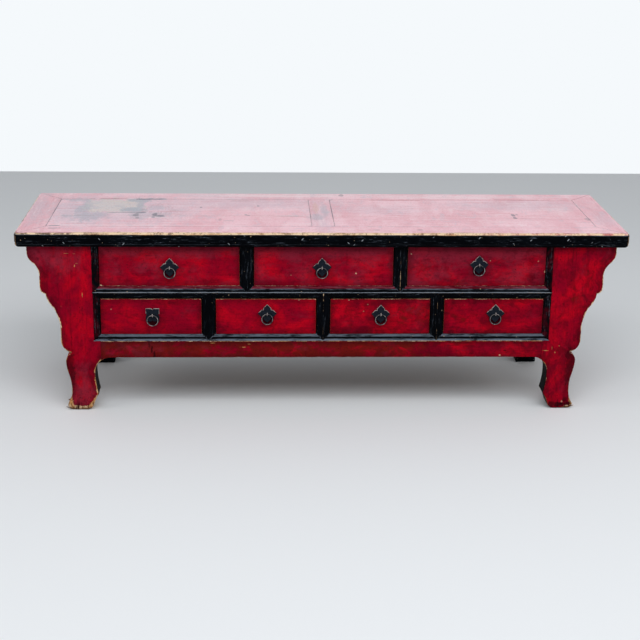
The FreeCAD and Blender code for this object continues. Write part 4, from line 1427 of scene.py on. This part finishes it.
class ALTAR_OT_apron(bpy.types.Operator):
    """Makes the apron under the bottom rail"""
    bl_idname = "altar.apron"
    bl_label = "Apron"

    def execute(self, context):
        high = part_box("front_apron")[1]

        def stained(point):
            return 0.88 - 0.46 * lift(0.1, 0.45, point.x)

        def edge_wear(point):
            return 0.9 if point.z > high.z - 6 * MM else 0.4

        def on_top(spot):
            return spot.z > high.z - MM

        dress("front_apron", ["red_lacquer_worn"],
              Work(X, None, edge_wear, None, (8 * MM,) * 3, stained, dull=steady(0.36), rubbed=on_top))
        return {"FINISHED"}


class ALTAR_OT_case(bpy.types.Operator):
    """Makes the back and end frames with their panels, and the drawer runners"""
    bl_idname = "altar.case"
    bl_label = "Back, ends and runners"

    def execute(self, context):
        def outside_paint(centre, normal):
            return 0 if normal.x * math.copysign(1, centre.x) > 0.3 else 1

        for node in ("rear_top_rail", "rear_bottom_rail"):
            dress(node, ["black_lacquer_worn"], Work(X, dull=steady(0.25)))
        dress("rear_middle_rail", ["bare_wood_aged"], Work(X))
        dress("back_panel", ["bare_wood_aged"], Work(X, grid=(16 * MM,) * 3))
        painted = ["red_lacquer_worn", "bare_wood_aged"]
        for side in ("left", "right"):
            dress(f"{side}_end_rails", painted, Work(Y, paint=outside_paint))
            dress(f"{side}_end_panel", painted, Work(Z, paint=outside_paint))
        for node in ("upper_runners", "lower_runners"):
            dress(node, ["bare_wood_aged"], Work(Y, grid=(30 * MM,) * 3))
        return {"FINISHED"}


class ALTAR_OT_drawers(bpy.types.Operator):
    """Makes the seven drawers without their pulls"""
    bl_idname = "altar.drawers"
    bl_label = "Drawers"

    def execute(self, context):
        rubbed_edge = 5 * MM
        shaded = 45 * MM

        def front_paint(centre, normal):
            return 0 if normal.y < -0.4 else 1

        # Each drawer's number, tone and dullness.
        for number, tone, haze in ((1, 0.38, 0.46), (2, 0.39, 0.52), (3, 0.48, 0.6), (4, 0.36, 0.22),
                                   (5, 0.38, 0.22), (6, 0.5, 0.26), (7, 0.49, 0.26)):
            low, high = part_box(f"drawer_{number}_front")
            pull = pull_frame(number)
            upper = number <= 3

            def edge_wear(point):
                if upper:
                    return 0.5 if point.z < low.z + rubbed_edge else 0.25
                return 0.5 if point.z > high.z - rubbed_edge else 0.22

            # The upper drawers grow hazier towards their tops: painted light lifting the shade under the
            # top's overhang
            def front_dull(point):
                if upper:
                    return haze + 0.75 * lift(high.z - shaded, high.z, point.z)
                return haze

            # The mark sits inside the ring, where the painted shadow of the plate and ring is centred
            marks = [Vector((pull.eye.x, low.y, pull.eye.z - pull.radius * 0.9))]
            dress(f"drawer_{number}_front", ["red_lacquer_worn", "bare_wood_aged"],
                  Work(X, None, edge_wear, front_paint, (8 * MM,) * 3, steady(tone), marks=marks,
                       dull=front_dull))
            dress(f"drawer_{number}_box", ["bare_wood_aged"], Work(Y, grid=(24 * MM,) * 3))
        return {"FINISHED"}


class ALTAR_OT_pulls(bpy.types.Operator):
    """Makes the iron plates with their staples, and the rings that hang in them"""
    bl_idname = "altar.pulls"
    bl_label = "Pulls and rings"

    def execute(self, context):
        sizes = context.scene.altar_pulls
        for number in range(1, 8):
            self.plate_and_staple(number, sizes)
            self.ring(number)
        return {"FINISHED"}

    def plate_and_staple(self, number, sizes):
        pull = pull_frame(number)
        eye, front = pull.eye, pull.plate.low.y
        width = (pull.plate.high.x - pull.plate.low.x) / 2
        # A plate narrower than its corners reach stands on a side.
        turn = math.pi / 4 if width < sizes.reach * 0.9 else 0
        outline = plate_outline(sizes.reach, sizes.notch, turn)
        rim = search_tree([Vector((eye.x + spot.x, front, eye.z + spot.z)) for spot in outline])

        def highlight_and_rub_gap(point):
            """How far it is to the painted highlight, partly real rubbing: the front of the eye, and the
            upper part of the rim.
            """
            if point.y < front - sizes.boss * 1.4:
                return 1 * MM + 3 * MM * lift(-1.3 * pull.wire, 0, point.y - eye.y)
            return rim.find(point)[2] + 6 * MM * lift(4 * MM, -4 * MM, point.z - eye.z)

        groups = [plate_shell(pull, outline, sizes), *staple_bar(pull, sizes)]
        name = f"drawer_{number}_pull_forged"
        put(name, iron_mesh(name, groups, highlight_and_rub_gap), f"drawer_{number}_pull")

    def ring(self, number):
        pull = pull_frame(number)
        middle = pull.eye - Vector((0, 0, pull.radius))
        path = circle(middle, pull.radius, Vector((0, 0, 1)), Vector((1, 0, 0)), 56)
        draw = random.Random(number)
        shift = Vector([draw.uniform(-9, 9) for _ in range(3)])
        radii = [pull.wire * (0.92 + 0.12 * noise.noise(spot * 110 + shift)) for spot in path]

        # The painted highlight, partly real rubbing, runs along the front of the ring's wire
        def highlight_and_rub_gap(point):
            return 0.85 * MM + 2 * MM * lift(-0.96, -0.62, (point.y - pull.eye.y) / pull.wire)

        name = f"drawer_{number}_ring_forged"
        put(name, iron_mesh(name, [tube(path, radii)], highlight_and_rub_gap), f"drawer_{number}_ring")


class ALTAR_OT_stage(bpy.types.Operator):
    """Makes the floor, the backdrop, the lights and the camera"""
    bl_idname = "altar.stage"
    bl_label = "Stage"

    def execute(self, context):
        stage = context.scene.altar_stage
        self.sweep(context, stage)
        self.lamps(context, stage)
        self.camera(context, stage)
        context.scene.view_settings.view_transform = "Standard"
        return {"FINISHED"}

    def sweep(self, context, stage):
        # The floor is wide, and ends behind the cabinet so that the backdrop shows past it.
        side, back = 40, 3.13
        corners = [(-side, -side, 0), (side, -side, 0), (side, back, 0), (-side, back, 0)]
        floor_mesh = bpy.data.meshes.new("floor")
        floor_mesh.from_pydata(corners, [], [(0, 1, 2, 3)])
        paint = Paint(bpy.data.materials.new("floor_plain"))
        in_view = paint.node("ShaderNodeLightPath", output="Is Camera Ray")
        paint.surface({"Base Color": paint.mixed(stage.floor_bounce, stage.floor, in_view), "Roughness": 0.8,
                       "Specular IOR Level": 0.2})
        floor_mesh.materials.append(bpy.data.materials["floor_plain"])
        floor = bpy.data.objects.new("floor", floor_mesh)
        context.scene.collection.objects.link(floor)
        floor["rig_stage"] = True

    def lamps(self, context, stage):
        world = bpy.data.worlds.new("sky")
        context.scene.world = world
        paint = Paint(world)
        cool = (0.93, 0.97, 1.0, 1)
        target = Vector((0, 0, 0.3))
        sky = paint.node("ShaderNodeBackground", inputs={"Color": cool, "Strength": stage.sky})
        pale = paint.node("ShaderNodeBackground", inputs={"Color": (*stage.backdrop, 1), "Strength": 1.0})
        seen = paint.node("ShaderNodeLightPath", output="Is Camera Ray")
        for ray in ("Is Glossy Ray", "Is Transmission Ray"):
            seen = paint.larger(seen, paint.node("ShaderNodeLightPath", output=ray))
        shown = paint.node("ShaderNodeMixShader", inputs={0: seen, 1: sky, 2: pale})
        paint.node("ShaderNodeOutputWorld", inputs={"Surface": shown})
        for name, place, size, power, tint in (
                ("key", (0.3, -3.0, 3.6), (4.5, 2.4), stage.key, (0.95, 0.98, 1.0)),
                ("left", (-3.2, -1.4, 2.2), (1.6, 1.6), stage.fill, (1.0, 0.98, 0.95)),
                ("right", (3.2, -1.4, 2.2), (1.6, 1.6), stage.fill, (1.0, 0.98, 0.95))):
            light = bpy.data.lights.new(name, "AREA")
            light.shape = "RECTANGLE"
            light.size, light.size_y = size
            light.energy = power
            light.color = tint
            lamp = bpy.data.objects.new(name, light)
            lamp.location = place
            lamp.rotation_euler = (target - lamp.location).to_track_quat("-Z", "Y").to_euler()
            context.scene.collection.objects.link(lamp)

    def camera(self, context, stage):
        data = bpy.data.cameras.new("camera")
        data.lens = stage.lens
        data.sensor_width = 36
        data.sensor_fit = "HORIZONTAL"
        pitch, turn, roll = stage.aim
        right = Vector((math.cos(turn), -math.sin(turn), 0))
        ahead = Vector((math.sin(turn), math.cos(turn), 0))
        up = Vector((0, 0, 1))
        look = ahead * math.cos(pitch) - up * math.sin(pitch)
        rise = up * math.cos(pitch) + ahead * math.sin(pitch)
        side = right * math.cos(roll) + rise * math.sin(roll)
        head = rise * math.cos(roll) - right * math.sin(roll)
        camera = bpy.data.objects.new("camera", data)
        camera.matrix_world = Matrix((side, head, -look)).transposed().to_4x4()
        camera.location = stage.eye
        context.scene.collection.objects.link(camera)
        context.scene.camera = camera


class ALTAR_PT_panel(bpy.types.Panel):
    """Settings and steps of the altar cabinet"""
    bl_idname = "ALTAR_PT_panel"
    bl_label = "Altar Cabinet"
    bl_space_type = "VIEW_3D"
    bl_region_type = "UI"
    bl_category = "Altar Cabinet"

    def draw(self, context):
        for group in GROUPS:
            settings = getattr(context.scene, group)
            box = self.layout.box()
            for name in settings.__annotations__:
                box.prop(settings, name)
        for operator in OPERATORS:
            self.layout.operator(operator.bl_idname)


GROUPS = {
    "altar_colours": LacquerColours,
    "altar_wear": WearSizes,
    "altar_pulls": PullSizes,
    "altar_stage": StageSettings,
}
OPERATORS = (ALTAR_OT_finishes, ALTAR_OT_stage, ALTAR_OT_top, ALTAR_OT_legs, ALTAR_OT_wings,
             ALTAR_OT_front_rails, ALTAR_OT_apron, ALTAR_OT_case, ALTAR_OT_drawers, ALTAR_OT_pulls)


def register():
    for group in (*GROUPS.values(), *OPERATORS, ALTAR_PT_panel):
        bpy.utils.register_class(group)
    for name, group in GROUPS.items():
        setattr(bpy.types.Scene, name, PointerProperty(type=group))


def unregister():
    for name in GROUPS:
        delattr(bpy.types.Scene, name)
    for group in (ALTAR_PT_panel, *OPERATORS, *GROUPS.values()):
        bpy.utils.unregister_class(group)


def main():
    register()
    bpy.ops.altar.finishes()
    bpy.ops.altar.stage()
    bpy.ops.altar.top()
    bpy.ops.altar.legs()
    bpy.ops.altar.wings()
    bpy.ops.altar.front_rails()
    bpy.ops.altar.apron()
    bpy.ops.altar.case()
    bpy.ops.altar.drawers()
    bpy.ops.altar.pulls()


if __name__ == "__main__":
    main()
